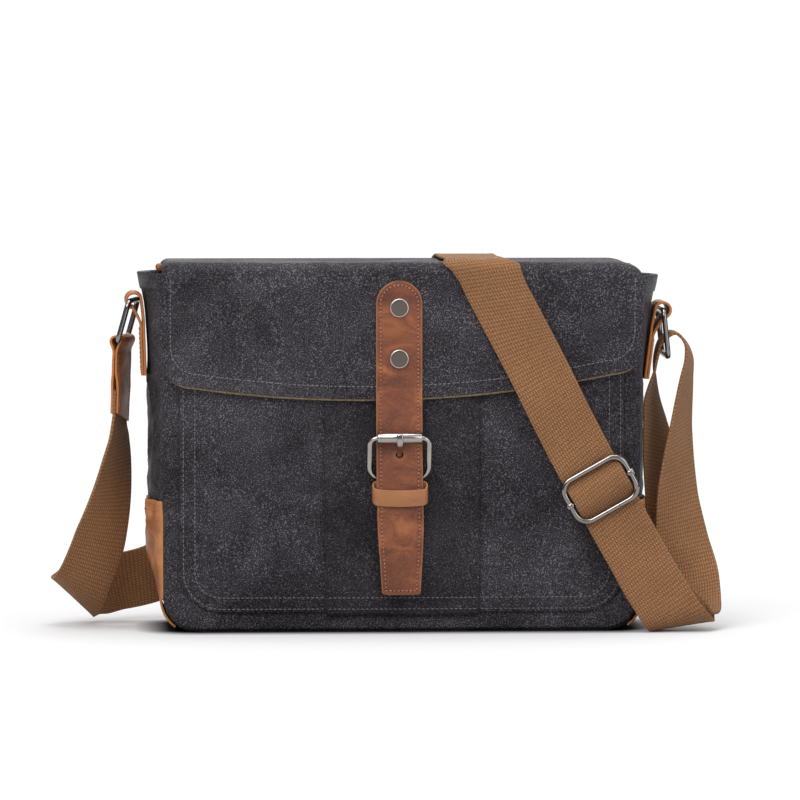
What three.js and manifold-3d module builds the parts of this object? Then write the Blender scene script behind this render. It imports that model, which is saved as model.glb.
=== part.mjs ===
// Canvas messenger bag with a flap, a leather strap-and-buckle front and an adjustable webbing
// shoulder strap. Millimetres, +Z up, front towards -Y. The origin is the centre of the resting face.
import * as THREE from 'three';
import { mergeVertices } from 'three/addons/utils/BufferGeometryUtils.js';
import Module from 'manifold-3d';

const wasm = await Module();
wasm.setup();

// ---------------------------------------------------------------- driving dimensions

const GAP = 0.3; // clearance between pieces that lie against each other

// Bag body
const BODY_W = 349; // width over the front panel
const BODY_D = 95; // depth over the front and back panels
const FRONT_H = 258; // top edge of the front panel
const BACK_H = 265.5; // top edge of the back panel, where the flap starts
const CORNER_R = 25; // rounded bottom corners
const PANEL_T = 2.4; // canvas with its interlining
const BOARD_T = 2.2; // stiffener in the base
const BOARD_MARGIN = 4; // from the board's edge to where the base starts to curve up
const LINING_T = 0.9;

// How far each side gusset bulges past the body, as [height, bulge] at mid depth
const LEFT_BULGE = [[0, 0], [CORNER_R, 0], [62, 9.5], [170, 10.2], [206, 10.4], [240, 12.2], [262, 16.5]];
const RIGHT_BULGE = [[0, 0], [CORNER_R, 0], [62, 3.5], [183, 4], [238, 11], [262, 16]];
const GUSSET_H = 257.5;

// Leather patches round the lower corners
const PATCH_T = 1.6;
const PATCH_GAP = 0.8; // behind the patch, for the facets of the curved side
const PATCH_TOP = 95;
const PATCH_WRAP = THREE.MathUtils.degToRad(52); // how far round the corner they reach

// Front pocket and its centre pleat
const POCKET_W = 324;
const POCKET_BOTTOM = 14.6;
const POCKET_TOP = 228;
const POCKET_R = 30;
const POCKET_ROOM = 5.5; // space between the pocket and the front panel
const POCKET_T = 1.8;
const PLEAT_W = 111;
const PLEAT_BOTTOM = 12.6;
const PLEAT_TOP = 226;
const PLEAT_T = 1.5;

// Flap
const FLAP_W = 351;
const FLAP_T = 1.8;
const FLAP_LINING_T = 0.8;
const FLAP_LINING_INSET = 1.5;
const FLAP_CLEAR = 2.4; // from the pleat to the flap's lining
const FLAP_TOP_Z = 270.5; // outer face of the flap's top
const FLAP_FOLD_ROOM = 7; // from the outer corner to the first solid part of either half
const FLAP_LOW_Z = 171.5; // bottom edge at the middle
const FLAP_SIDE_ZS = [181, 190.5]; // bottom edge beside its left and right corners
const FLAP_CORNER = 22;

// Leather front strap
const STRAP_X = -2.9; // its middle, a little to the left of the flap's
const STRAP_W = 33.6;
const STRAP_TIP_W = 28;
const STRAP_T = 2.6;
const STRAP_TOP_Z = 257;
const STRAP_TIP_Z = 28;
const STRAP_TAPER_Z = 76; // where the taper to the tip starts
const STRAP_TIP_R = 3;
const RIVET_ZS = [237.3, 200.2];
const RIVET_R = 6.9;
const RIVET_CAP_T = 1.8;
const RIVET_SHANK_R = 2;
const RIVET_BACK_R = 4.5;
const RIVET_BACK_T = 0.9;

// Roller buckle with its leather tab, and the keeper
const HEEL_Z = 113; // the buckle bar behind the strap
const ROLLER_Z = 142.8; // the bar in front of the strap, with the roller on it
const BUCKLE_W = 47;
const WIRE_R = 1.8;
const BUCKLE_CHAMFER = 6;
const BUCKLE_CORNER = 3;
const ROLLER_R = 4.1;
const ROLLER_L = 33;
const TAB_W = 30;
const TAB_T = 1.3;
const TAB_END_Z = 58;
const PRONG_W = 4.6;
const PRONG_T = 2.4;
const PRONG_HOLE_Z = 131; // where the prong comes through the strap
const PRONG_HOLE_L = 13;
const KEEPER_Z = 93.4;
const KEEPER_H = 12.6;
const KEEPER_W = 41;
const KEEPER_T = 1.6;

// Hidden magnetic closure behind the strap
const MAGNET_Z = 75;
const MAGNET_R = 7;
const MAGNET_GAP = 0.5; // between the two halves

// Rings and their leather tabs on the gussets
const RING_WIRE_R = 2;
const RING_W = 54;
const RING_CORNER = 4;
const RING_LEATHER_W = 42; // the tabs and the connector
const RING_TAB_T = 3.8;
const RING_LOOP_R = 6.8;
// Per side: the loop's height, its room to the gusset, how far the ring's low bar hangs out and down
// from its top bar, and the height of the tab's foot
const LEFT_RING = { loopZ: 241, room: 0.2, hangX: 8.2, hangZ: 29.5, footZ: 186.4 };
const RIGHT_RING = { loopZ: 233.4, room: 0.8, hangX: 3.5, hangZ: 33.9, footZ: 183 };

// Leather connector between the left ring and the webbing
const CONNECTOR_DROP = [-2.1, -56.5]; // from the ring's low bar to the connector's end, in x and z
const CONNECTOR_T = 6.2;
const CONNECTOR_SLOT_L = 26;

// Webbing, its slider and the slider's bar
const WEB_W = 43.5;
const WEB_T = 1.9;
const WEB_STEP = 11; // longest length of one straight piece of the webbing
const SLIDER_AT = [143.7, 104.8]; // x and z of the slider's centre on the strap
const SLIDER_TILT = THREE.MathUtils.degToRad(29.3);
const SLIDER_L = 53.7;
const SLIDER_H = 37.7;
const SLIDER_WIRE_R = 2;
const SLIDER_CORNER = 8;
const BAR_R = 1.8;
const BAR_COLLAR_R = 3.7;
const BAR_COLLAR_L = 4.6;

// ---------------------------------------------------------------- distances in front of the middle

const PANEL_FACE = BODY_D / 2;
const PANEL_BACK = PANEL_FACE - PANEL_T;
const POCKET_BACK = PANEL_FACE + POCKET_ROOM;
const POCKET_FACE = POCKET_BACK + POCKET_T;
const PLEAT_FACE = POCKET_FACE + GAP + PLEAT_T;
const FLAP_BACK = PLEAT_FACE + FLAP_CLEAR;
const FLAP_CANVAS_BACK = FLAP_BACK + FLAP_LINING_T + GAP;
const FLAP_FACE = FLAP_CANVAS_BACK + FLAP_T;
const STRAP_BACK = FLAP_FACE + GAP;
const TAB_LOOP_R = WIRE_R + GAP + TAB_T;
const HEEL_Y = PLEAT_FACE + GAP + TAB_LOOP_R;
const TAB_FACE = HEEL_Y + TAB_LOOP_R;
const STRAP_RAISED = TAB_FACE + GAP - STRAP_BACK; // the strap steps out over the buckle tab
const ROLLER_Y = STRAP_BACK + STRAP_RAISED + STRAP_T + GAP + ROLLER_R;

// ---------------------------------------------------------------- colours and finishes

function finish(color, roughness, metalness = 0) {
  return () => new THREE.MeshStandardMaterial({ color, roughness, metalness });
}

const canvas = finish(0x3e3c42, 0.85);
const khaki = finish(0x8a7858, 0.9);
const strapLeather = finish(0x8c5539, 0.55);
const tanLeather = finish(0xab7448, 0.6);
const webbing = finish(0x966e4b, 0.9);
const gunmetal = finish(0x6f6d70, 0.3, 1);
const nickel = finish(0xa19d98, 0.3, 1);
const board = finish(0x5a5148, 0.9);

// ---------------------------------------------------------------- solids

const bag = new THREE.Group();

function outward(geometry) {
  geometry.deleteAttribute('normal');
  geometry.deleteAttribute('uv');
  const merged = mergeVertices(geometry, 1e-4);
  const p = merged.attributes.position;
  const index = merged.index.array;
  const [a, b, c] = [new THREE.Vector3(), new THREE.Vector3(), new THREE.Vector3()];
  let volume = 0;
  for (let i = 0; i < index.length; i += 3) {
    a.fromBufferAttribute(p, index[i]);
    b.fromBufferAttribute(p, index[i + 1]);
    c.fromBufferAttribute(p, index[i + 2]);
    volume += a.dot(b.cross(c));
  }
  if (volume < 0) {
    for (let i = 0; i < index.length; i += 3) {
      [index[i], index[i + 1]] = [index[i + 1], index[i]];
    }
  }
  return merged;
}

function solid(geometry) {
  const merged = outward(geometry);
  return new wasm.Manifold(new wasm.Mesh({
    numProp: 3,
    vertProperties: new Float32Array(merged.attributes.position.array),
    triVerts: new Uint32Array(merged.index.array),
  }));
}

function geometryOf(manifold) {
  const mesh = manifold.getMesh();
  const geometry = new THREE.BufferGeometry();
  geometry.setAttribute('position', new THREE.BufferAttribute(mesh.vertProperties, 3));
  geometry.setIndex(new THREE.BufferAttribute(mesh.triVerts, 1));
  return geometry;
}

function add(name, geometry, material) {
  const closed = outward(geometry);
  closed.computeVertexNormals();
  const mesh = new THREE.Mesh(closed, material());
  mesh.name = name;
  bag.add(mesh);
  return mesh;
}

// A flat plate from an outline in X and Z, between two distances in front of the middle.
function plate(outline, near, far, curveSegments = 8) {
  const depth = far - near;
  const geometry = new THREE.ExtrudeGeometry(outline, { depth, bevelEnabled: false, curveSegments });
  geometry.rotateX(Math.PI / 2);
  geometry.translate(0, -near, 0);
  return geometry;
}

// A piece from an outline in (distance in front of the middle, Z), centred on X.
function crossPlate(outline, width, curveSegments = 10) {
  const geometry = new THREE.ExtrudeGeometry(outline, { depth: width, bevelEnabled: false, curveSegments });
  geometry.rotateX(Math.PI / 2);
  geometry.rotateZ(-Math.PI / 2);
  geometry.translate(width / 2, 0, 0);
  return geometry;
}

// A bent slab: u and v run over it, t goes through its thickness, all from 0 to 1.
function bent(nu, nv, place) {
  const geometry = new THREE.BoxGeometry(1, 1, 1, nu, nv, 1);
  const p = geometry.attributes.position;
  for (let i = 0; i < p.count; i++) {
    const at = place(p.getX(i) + 0.5, p.getY(i) + 0.5, p.getZ(i) + 0.5);
    p.setXYZ(i, at.x, at.y, at.z);
  }
  return geometry;
}

function cylinderY(radius, near, far, x, z, segments = 20) {
  const geometry = new THREE.CylinderGeometry(radius, radius, far - near, segments);
  geometry.translate(x, -(near + far) / 2, z);
  return geometry;
}

function cylinderX(radius, length, y, z, segments = 20) {
  const geometry = new THREE.CylinderGeometry(radius, radius, length, segments);
  geometry.rotateZ(Math.PI / 2);
  geometry.translate(0, -y, z);
  return geometry;
}

function box(x0, x1, y0, y1, z0, z1) {
  const geometry = new THREE.BoxGeometry(x1 - x0, y1 - y0, z1 - z0);
  geometry.translate((x0 + x1) / 2, (y0 + y1) / 2, (z0 + z1) / 2);
  return geometry;
}

// Straight lines between [height, value] pairs.
function between(pairs, height) {
  const last = pairs.length - 1;
  const i = Math.max(1, Math.min(last, pairs.findIndex((pair) => pair[0] >= height)));
  const [[h0, v0], [h1, v1]] = [pairs[i - 1], pairs[i]];
  return THREE.MathUtils.lerp(v0, v1, THREE.MathUtils.clamp((height - h0) / (h1 - h0), 0, 1));
}

// An upright outline with two rounded bottom corners.
function pocketShape(halfWidth, bottom, top, radius) {
  const shape = new THREE.Shape();
  shape.moveTo(-halfWidth, top);
  shape.lineTo(-halfWidth, bottom + radius);
  shape.absarc(-halfWidth + radius, bottom + radius, radius, Math.PI, 1.5 * Math.PI, false);
  shape.lineTo(halfWidth - radius, bottom);
  shape.absarc(halfWidth - radius, bottom + radius, radius, -0.5 * Math.PI, 0, false);
  shape.lineTo(halfWidth, top);
  shape.closePath();
  return shape;
}

// A closed loop of round wire through corner points, each corner rounded by its own radius.
function wireLoop(corners, radius, cornerSteps = 4, sides = 10) {
  const path = new THREE.CurvePath();
  const rounded = corners.map(([point, cut], i) => {
    const before = corners[(i + corners.length - 1) % corners.length][0];
    const after = corners[(i + 1) % corners.length][0];
    const start = point.clone().add(before.clone().sub(point).setLength(cut));
    const end = point.clone().add(after.clone().sub(point).setLength(cut));
    return new THREE.QuadraticBezierCurve3(start, point, end);
  });
  const line = [];
  rounded.forEach((curve) => line.push(...curve.getPoints(cornerSteps)));
  const centre = new THREE.Vector3();
  line.forEach((point) => centre.addScaledVector(point, 1 / line.length));
  const normal = new THREE.Vector3();
  line.forEach((point, i) => {
    const next = line[(i + 1) % line.length];
    normal.add(point.clone().sub(centre).cross(next.clone().sub(centre)));
  });
  normal.normalize();
  const positions = [];
  line.forEach((point, i) => {
    const before = line[(i + line.length - 1) % line.length];
    const after = line[(i + 1) % line.length];
    const arriving = point.clone().sub(before).normalize();
    const leaving = after.clone().sub(point).normalize();
    const out = arriving.clone().add(leaving).normalize().cross(normal);
    const stretch = 1 / Math.max(0.5, Math.sqrt((1 + arriving.dot(leaving)) / 2));
    for (let k = 0; k < sides; k++) {
      const turn = (2 * Math.PI * k) / sides;
      positions.push(...point.clone()
        .addScaledVector(out, radius * stretch * Math.cos(turn))
        .addScaledVector(normal, radius * Math.sin(turn)).toArray());
    }
  });
  const index = [];
  for (let i = 0; i < line.length; i++) {
    const j = (i + 1) % line.length;
    for (let k = 0; k < sides; k++) {
      const m = (k + 1) % sides;
      index.push(i * sides + k, j * sides + k, j * sides + m);
      index.push(i * sides + k, j * sides + m, i * sides + m);
    }
  }
  const geometry = new THREE.BufferGeometry();
  geometry.setAttribute('position', new THREE.Float32BufferAttribute(positions, 3));
  geometry.setAttribute('normal', new THREE.Float32BufferAttribute(positions, 3));
  const uvs = new Float32Array(positions.length / 3 * 2);
  geometry.setAttribute('uv', new THREE.Float32BufferAttribute(uvs, 2));
  geometry.setIndex(index);
  return geometry;
}

// ---------------------------------------------------------------- bag body

function addBody() {
  const half = BODY_W / 2;
  add('front_panel', plate(pocketShape(half, 0, FRONT_H, CORNER_R), PANEL_BACK, PANEL_FACE), canvas);
  add('back_panel', plate(pocketShape(half, 0, BACK_H, CORNER_R), -PANEL_FACE, -PANEL_BACK), canvas);

  const strip = PANEL_BACK - GAP; // half of the gusset strip's width
  const base = new THREE.Shape();
  base.moveTo(-half, CORNER_R);
  base.absarc(-half + CORNER_R, CORNER_R, CORNER_R, Math.PI, 1.5 * Math.PI, false);
  base.absarc(half - CORNER_R, CORNER_R, CORNER_R, -0.5 * Math.PI, 0, false);
  base.absarc(half - CORNER_R, CORNER_R, CORNER_R - PANEL_T, 0, -0.5 * Math.PI, true);
  base.absarc(-half + CORNER_R, CORNER_R, CORNER_R - PANEL_T, 1.5 * Math.PI, Math.PI, true);
  base.closePath();
  add('bottom_panel', plate(base, -strip, strip), canvas);

  const boardHalf = half - CORNER_R - BOARD_MARGIN;
  const boardDepth = strip - BOARD_MARGIN;
  const boardZ = PANEL_T + GAP;
  add('base_board', box(-boardHalf, boardHalf, -boardDepth, boardDepth, boardZ, boardZ + BOARD_T), board);

  const liningZ = boardZ + BOARD_T + GAP;
  const liningHalf = half - PANEL_T - GAP;
  const liningR = CORNER_R - PANEL_T - GAP;
  const room = solid(plate(pocketShape(liningHalf, liningZ, FRONT_H - 4, liningR), -strip, strip));
  const inside = pocketShape(liningHalf - LINING_T, liningZ + LINING_T, FRONT_H, liningR - LINING_T);
  const hollow = solid(plate(inside, -strip + LINING_T, strip - LINING_T));
  add('lining', geometryOf(room.subtract(hollow)), khaki);
}

function gussetPoint(side, bulge, across, height, outwards) {
  const crown = 1 - (2 * across / BODY_D) ** 2;
  const x = BODY_W / 2 + between(bulge, height) * crown + outwards;
  return new THREE.Vector3(side * x, across, height);
}

function addSide(name, side, bulge) {
  const strip = PANEL_BACK - GAP;
  const low = CORNER_R + GAP;
  add(`${name}_gusset`, bent(22, 8, (u, v, t) => gussetPoint(
    side, bulge, THREE.MathUtils.lerp(-strip, strip, v), THREE.MathUtils.lerp(low, GUSSET_H, u), -PANEL_T * t,
  )), canvas);

  const straight = PATCH_TOP - CORNER_R;
  const round = PATCH_WRAP * CORNER_R;
  add(`${name}_corner_patch`, bent(14, 8, (u, v, t) => {
    const along = u * (straight + round);
    const across = THREE.MathUtils.lerp(-strip, strip, v);
    const off = PATCH_GAP + PATCH_T * t;
    if (along <= straight) {
      return gussetPoint(side, bulge, across, PATCH_TOP - along, off);
    }
    const turn = (along - straight) / CORNER_R;
    return new THREE.Vector3(
      side * (BODY_W / 2 - CORNER_R + (CORNER_R + off) * Math.cos(turn)),
      across,
      CORNER_R - (CORNER_R + off) * Math.sin(turn),
    );
  }), tanLeather);
}

// Leather tab folded over a round end piece at the left end of the mouth.
function addMouthTab() {
  const x = -BODY_W / 2 - between(LEFT_BULGE, GUSSET_H) + PANEL_T;
  const geometry = new THREE.CylinderGeometry(2.2, 2.2, 16, 12);
  geometry.translate(x + 4, 0, GUSSET_H + 2.2 + GAP);
  add('mouth_tab', geometry, tanLeather);
}

// ---------------------------------------------------------------- front pocket

function addPocket() {
  const half = POCKET_W / 2;
  const outline = pocketShape(half, POCKET_BOTTOM, POCKET_TOP, POCKET_R);
  const outer = solid(plate(outline, PANEL_FACE + GAP, POCKET_FACE));
  const wall = POCKET_T;
  const inner = pocketShape(half - wall, POCKET_BOTTOM + wall, POCKET_TOP + 1, POCKET_R - wall);
  const room = solid(plate(inner, PANEL_FACE, POCKET_BACK));
  add('front_pocket', geometryOf(outer.subtract(room)), canvas);
  add('pocket_pleat', box(
    -PLEAT_W / 2, PLEAT_W / 2, -PLEAT_FACE, -POCKET_FACE - GAP, PLEAT_BOTTOM, PLEAT_TOP,
  ), canvas);
}

// ---------------------------------------------------------------- flap

function flapFrontShape(inset, top) {
  const half = FLAP_W / 2 - inset;
  const [left, right] = FLAP_SIDE_ZS.map((z) => z + inset);
  const corner = FLAP_CORNER - inset;
  // The control height that puts the middle at its height
  const dip = 2 * (FLAP_LOW_Z + inset) - (left + right) / 2;
  const shape = new THREE.Shape();
  shape.moveTo(-half, top);
  shape.lineTo(-half, left + corner);
  shape.quadraticCurveTo(-half, left, -half + corner, left - 1);
  shape.quadraticCurveTo(0, dip, half - corner, right - 1);
  shape.quadraticCurveTo(half, right, half, right + corner);
  shape.lineTo(half, top);
  shape.closePath();
  return shape;
}

function addFlap() {
  const half = FLAP_W / 2;
  const frontTop = FLAP_TOP_Z - FLAP_FOLD_ROOM;
  const rivetHole = (near, far, z) => solid(cylinderY(RIVET_SHANK_R + GAP, near, far, STRAP_X, z));
  let front = solid(plate(flapFrontShape(0, frontTop), FLAP_CANVAS_BACK, FLAP_FACE, 10));
  const liningShape = flapFrontShape(FLAP_LINING_INSET, frontTop);
  let lining = solid(plate(liningShape, FLAP_BACK, FLAP_BACK + FLAP_LINING_T, 10));
  for (const z of RIVET_ZS) {
    front = front.subtract(rivetHole(FLAP_CANVAS_BACK - 1, FLAP_FACE + 1, z));
    lining = lining.subtract(rivetHole(FLAP_BACK - 1, FLAP_FACE, z));
  }
  add('flap_front', geometryOf(front), canvas);
  add('flap_front_lining', geometryOf(lining), khaki);

  const reach = -FLAP_FACE + FLAP_FOLD_ROOM;
  const back = BODY_D / 2 - GAP;
  const underside = FLAP_TOP_Z - FLAP_T;
  add('flap_top', box(-half, half, reach, back, underside, FLAP_TOP_Z), canvas);
  add('flap_top_lining', box(
    -half + FLAP_LINING_INSET, half - FLAP_LINING_INSET, reach, back - FLAP_LINING_INSET,
    underside - GAP - FLAP_LINING_T, underside - GAP,
  ), khaki);
}

// ---------------------------------------------------------------- leather strap, buckle and keeper

// Adds a piece made about x = 0 at the strap's own middle.
function addOnStrap(name, geometry, material) {
  geometry.translate(STRAP_X, 0, 0);
  add(name, geometry, material);
}

// How far the strap's back stands in front of the middle, at a height.
function strapBackAt(z) {
  const risen = THREE.MathUtils.smoothstep(-z, -178, -150);
  const settled = THREE.MathUtils.smoothstep(-z, -58, -STRAP_TIP_Z);
  return STRAP_BACK + STRAP_RAISED * (risen - settled);
}

function strapHalfWidth(z) {
  const round = STRAP_W / 2;
  const fromTop = STRAP_TOP_Z - z;
  if (fromTop < round) {
    return Math.sqrt(Math.max(0, round ** 2 - (round - fromTop) ** 2));
  }
  const taper = THREE.MathUtils.clamp((STRAP_TAPER_Z - z) / (STRAP_TAPER_Z - STRAP_TIP_Z), 0, 1);
  const width = THREE.MathUtils.lerp(STRAP_W, STRAP_TIP_W, taper) / 2;
  const fromTip = STRAP_TIP_R - (z - STRAP_TIP_Z);
  return fromTip > 0 ? width - STRAP_TIP_R + Math.sqrt(STRAP_TIP_R ** 2 - fromTip ** 2) : width;
}

function addStrap() {
  const heights = [STRAP_TIP_Z, STRAP_TIP_Z + 0.9, STRAP_TIP_Z + STRAP_TIP_R];
  for (let z = 38; z < STRAP_TOP_Z - STRAP_W / 2; z += 7) {
    heights.push(z);
  }
  for (let k = 0; k < 8; k++) {
    const turn = (k / 8) * (Math.PI / 2);
    heights.push(STRAP_TOP_Z - (STRAP_W / 2) * (1 - Math.sin(turn)));
  }
  heights.push(STRAP_TOP_Z - 0.05);
  const steps = heights.length - 1;
  let strap = solid(bent(steps, 1, (u, v, t) => {
    const z = heights[Math.round(u * steps)];
    return new THREE.Vector3((2 * v - 1) * strapHalfWidth(z), -(strapBackAt(z) + STRAP_T * t), z);
  }));
  for (const z of RIVET_ZS) {
    strap = strap.subtract(solid(cylinderY(RIVET_SHANK_R + GAP, FLAP_FACE, FLAP_FACE + 9, 0, z)));
  }
  const holeHalf = PRONG_W / 2 + GAP;
  strap = strap.subtract(solid(box(
    -holeHalf, holeHalf, -FLAP_FACE - 9, -FLAP_FACE,
    PRONG_HOLE_Z - PRONG_HOLE_L / 2, PRONG_HOLE_Z + PRONG_HOLE_L / 2,
  )));
  addOnStrap('flap_strap', geometryOf(strap), strapLeather);

  const names = ['rivet_upper', 'rivet_lower'];
  RIVET_ZS.forEach((z, i) => {
    const face = STRAP_BACK + STRAP_T + GAP;
    const back = FLAP_BACK - GAP;
    const profile = [
      [0, back - RIVET_BACK_T], [RIVET_BACK_R, back - RIVET_BACK_T], [RIVET_BACK_R, back],
      [RIVET_SHANK_R, back], [RIVET_SHANK_R, face], [RIVET_R, face],
      [RIVET_R, face + RIVET_CAP_T - 0.6], [RIVET_R - 0.8, face + RIVET_CAP_T], [0, face + RIVET_CAP_T],
    ].map(([r, out]) => new THREE.Vector2(r, out));
    const geometry = new THREE.LatheGeometry(profile, 24);
    geometry.rotateX(Math.PI);
    geometry.translate(0, 0, z);
    addOnStrap(names[i], geometry, gunmetal);
  });
}

function ringShape(y, z, outer, inner) {
  const shape = new THREE.Shape();
  shape.absarc(y, z, outer, 0, 2 * Math.PI, false);
  const hole = new THREE.Path();
  hole.absarc(y, z, inner, 0, 2 * Math.PI, true);
  shape.holes.push(hole);
  return shape;
}

function addBuckle() {
  const side = BUCKLE_W / 2 - WIRE_R;
  const corner = (x, y, z, cut) => [new THREE.Vector3(x, -y, z), cut];
  addOnStrap('buckle_frame', wireLoop([
    corner(-side, HEEL_Y, HEEL_Z, BUCKLE_CHAMFER), corner(side, HEEL_Y, HEEL_Z, BUCKLE_CHAMFER),
    corner(side, ROLLER_Y, ROLLER_Z, BUCKLE_CORNER), corner(-side, ROLLER_Y, ROLLER_Z, BUCKLE_CORNER),
  ], WIRE_R), nickel);

  const roller = solid(cylinderX(ROLLER_R, ROLLER_L, ROLLER_Y, ROLLER_Z, 24));
  const bore = solid(cylinderX(WIRE_R + GAP, ROLLER_L + 2, ROLLER_Y, ROLLER_Z, 16));
  addOnStrap('buckle_roller', geometryOf(roller.subtract(bore)), nickel);

  // The prong: an eye on the heel bar, a stem up through the strap's hole, a tip on the roller.
  const eye = solid(crossPlate(ringShape(HEEL_Y, HEEL_Z, WIRE_R + GAP + 1.3, WIRE_R + GAP), PRONG_W));
  const tipBack = ROLLER_Y + ROLLER_R + GAP;
  const strapBehind = STRAP_BACK + STRAP_RAISED;
  const rise = HEEL_Z + WIRE_R + GAP;
  const holeLow = PRONG_HOLE_Z - PRONG_HOLE_L / 2;
  const stem = new THREE.Shape();
  stem.moveTo(HEEL_Y - 0.4, rise + 0.4);
  stem.lineTo(strapBehind - PRONG_T - 0.6, holeLow + 2.8);
  stem.lineTo(tipBack, ROLLER_Z - 3);
  stem.lineTo(tipBack, ROLLER_Z + 2);
  stem.lineTo(tipBack + PRONG_T * 0.7, ROLLER_Z + 2);
  stem.lineTo(tipBack + PRONG_T, ROLLER_Z - 3.6);
  stem.lineTo(strapBehind - 0.6, holeLow + 1.2);
  stem.lineTo(HEEL_Y + 0.4 + PRONG_T * 0.6, rise - 0.2);
  stem.closePath();
  const prong = eye.add(solid(crossPlate(stem, PRONG_W)));
  const heelBore = solid(cylinderX(WIRE_R + GAP, PRONG_W + 2, HEEL_Y, HEEL_Z, 16));
  addOnStrap('buckle_prong', geometryOf(prong.subtract(heelBore)), nickel);

  // The tab folds round the heel bar and runs down behind the strap.
  const loop = solid(crossPlate(ringShape(HEEL_Y, HEEL_Z, TAB_LOOP_R, WIRE_R + GAP), TAB_W));
  const leaf = solid(box(-TAB_W / 2, TAB_W / 2, -TAB_FACE, -TAB_FACE + TAB_T, TAB_END_Z, HEEL_Z));
  const notch = PRONG_W / 2 + GAP;
  const room = solid(box(-notch, notch, -TAB_FACE - 1, -HEEL_Y + TAB_LOOP_R + 1, HEEL_Z - 5.5, HEEL_Z + 6));
  const bar = solid(cylinderX(WIRE_R + GAP, TAB_W + 2, HEEL_Y, HEEL_Z, 16));
  addOnStrap('buckle_tab', geometryOf(loop.add(leaf).subtract(bar).subtract(room)), strapLeather);
}

function addKeeper() {
  const halfIn = KEEPER_W / 2 - KEEPER_T;
  const backIn = TAB_FACE - TAB_T - GAP;
  const frontIn = STRAP_BACK + STRAP_RAISED + STRAP_T + GAP;
  const band = (grow) => {
    const shape = new THREE.Shape();
    const [x, near, far, r] = [halfIn + grow, backIn - grow, frontIn + grow, 1.4 + grow];
    shape.absarc(x - r, far - r, r, 0, Math.PI / 2, false);
    shape.absarc(-x + r, far - r, r, Math.PI / 2, Math.PI, false);
    shape.absarc(-x + r, near + r, r, Math.PI, 1.5 * Math.PI, false);
    shape.absarc(x - r, near + r, r, -Math.PI / 2, 0, false);
    shape.closePath();
    return shape;
  };
  const outer = band(KEEPER_T);
  outer.holes.push(band(0));
  const settings = { depth: KEEPER_H, bevelEnabled: false, curveSegments: 4 };
  const geometry = new THREE.ExtrudeGeometry(outer, settings);
  geometry.scale(1, -1, 1);
  geometry.translate(0, 0, KEEPER_Z);
  addOnStrap('keeper_loop', geometry, tanLeather);
}

function addMagnets() {
  const tabBack = TAB_FACE - TAB_T;
  const socketBack = PLEAT_FACE + GAP;
  const room = tabBack - GAP - socketBack - MAGNET_GAP;
  const stud = cylinderY(MAGNET_R, tabBack - GAP - room / 2, tabBack - GAP, 0, MAGNET_Z, 24);
  addOnStrap('magnet_stud', stud, gunmetal);
  const socket = cylinderY(MAGNET_R, socketBack, socketBack + room / 2, 0, MAGNET_Z, 24);
  addOnStrap('magnet_socket', socket, gunmetal);
}

// ---------------------------------------------------------------- rings, tabs and connector

// A strip of leather seen from its edge: a loop round a bar at one end, a leaf to the other end.
function loopedStrip(bar, end, loopR, thickness) {
  const away = new THREE.Vector2(end[0] - bar[0], end[1] - bar[1]);
  const length = away.length();
  const outer = ringShape(0, 0, loopR, RING_WIRE_R + GAP);
  let strip = solid(new THREE.ExtrudeGeometry(outer, {
    depth: RING_LEATHER_W, bevelEnabled: false, curveSegments: 12,
  }));
  const leafStart = RING_WIRE_R + GAP + 0.6;
  const leaf = new THREE.BoxGeometry(thickness, length - leafStart, RING_LEATHER_W);
  leaf.translate(0, -(length + leafStart) / 2, RING_LEATHER_W / 2);
  strip = strip.add(solid(leaf));
  const geometry = geometryOf(strip);
  geometry.rotateZ(Math.atan2(away.x, -away.y));
  geometry.rotateX(Math.PI / 2);
  geometry.translate(bar[0], RING_LEATHER_W / 2, bar[1]);
  return geometry;
}

function ringPlaces(side, bulge, { loopZ, room, hangX, hangZ, footZ }) {
  const face = (z) => BODY_W / 2 + between(bulge, z);
  const top = [side * (face(loopZ + RING_LOOP_R) + RING_LOOP_R + room), loopZ];
  const low = [top[0] + side * hangX, loopZ - hangZ];
  return { top, low, foot: [side * (face(footZ) + 2 * GAP + RING_TAB_T / 2 + 0.4), footZ] };
}

function addRing(name, { top, low, foot }) {
  add(`${name}_ring_tab`, loopedStrip(top, foot, RING_LOOP_R, RING_TAB_T), tanLeather);
  const side = RING_W / 2 - RING_WIRE_R;
  const corner = ([x, z], y) => [new THREE.Vector3(x, y, z), RING_CORNER];
  add(`${name}_ring`, wireLoop([
    corner(top, -side), corner(top, side), corner(low, side), corner(low, -side),
  ], RING_WIRE_R), gunmetal);
}

function addConnector({ low }) {
  const [dx, dz] = CONNECTOR_DROP;
  const end = [low[0] + dx, low[1] + dz];
  const whole = solid(loopedStrip(low, end, CONNECTOR_T / 2 + 1.2, CONNECTOR_T));
  const slot = new THREE.BoxGeometry(WEB_T + 2 * GAP, RING_LEATHER_W + 2, 2 * CONNECTOR_SLOT_L);
  slot.rotateY(Math.atan2(dx, dz) - Math.PI);
  slot.translate(end[0], 0, end[1]);
  add('left_connector', geometryOf(whole.subtract(solid(slot))), tanLeather);
}

// ---------------------------------------------------------------- webbing and slider

const leftPlaces = ringPlaces(-1, LEFT_BULGE, LEFT_RING);
const ALONG = new THREE.Vector3(Math.sin(SLIDER_TILT), 0, -Math.cos(SLIDER_TILT)); // down the front run
const ACROSS = new THREE.Vector3(Math.cos(SLIDER_TILT), 0, Math.sin(SLIDER_TILT));
const RUN_Y = FLAP_FACE + GAP + WEB_T / 2 + 0.2; // the webbing's middle where it lies on the flap
const SLIDER_Y = RUN_Y + WEB_T / 2 + GAP + SLIDER_WIRE_R;
const OVER_BAR_Y = SLIDER_Y + BAR_R + GAP + WEB_T / 2;
const UNDER_Y = RUN_Y - WEB_T - 1.2; // the doubled layer behind the run

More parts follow.
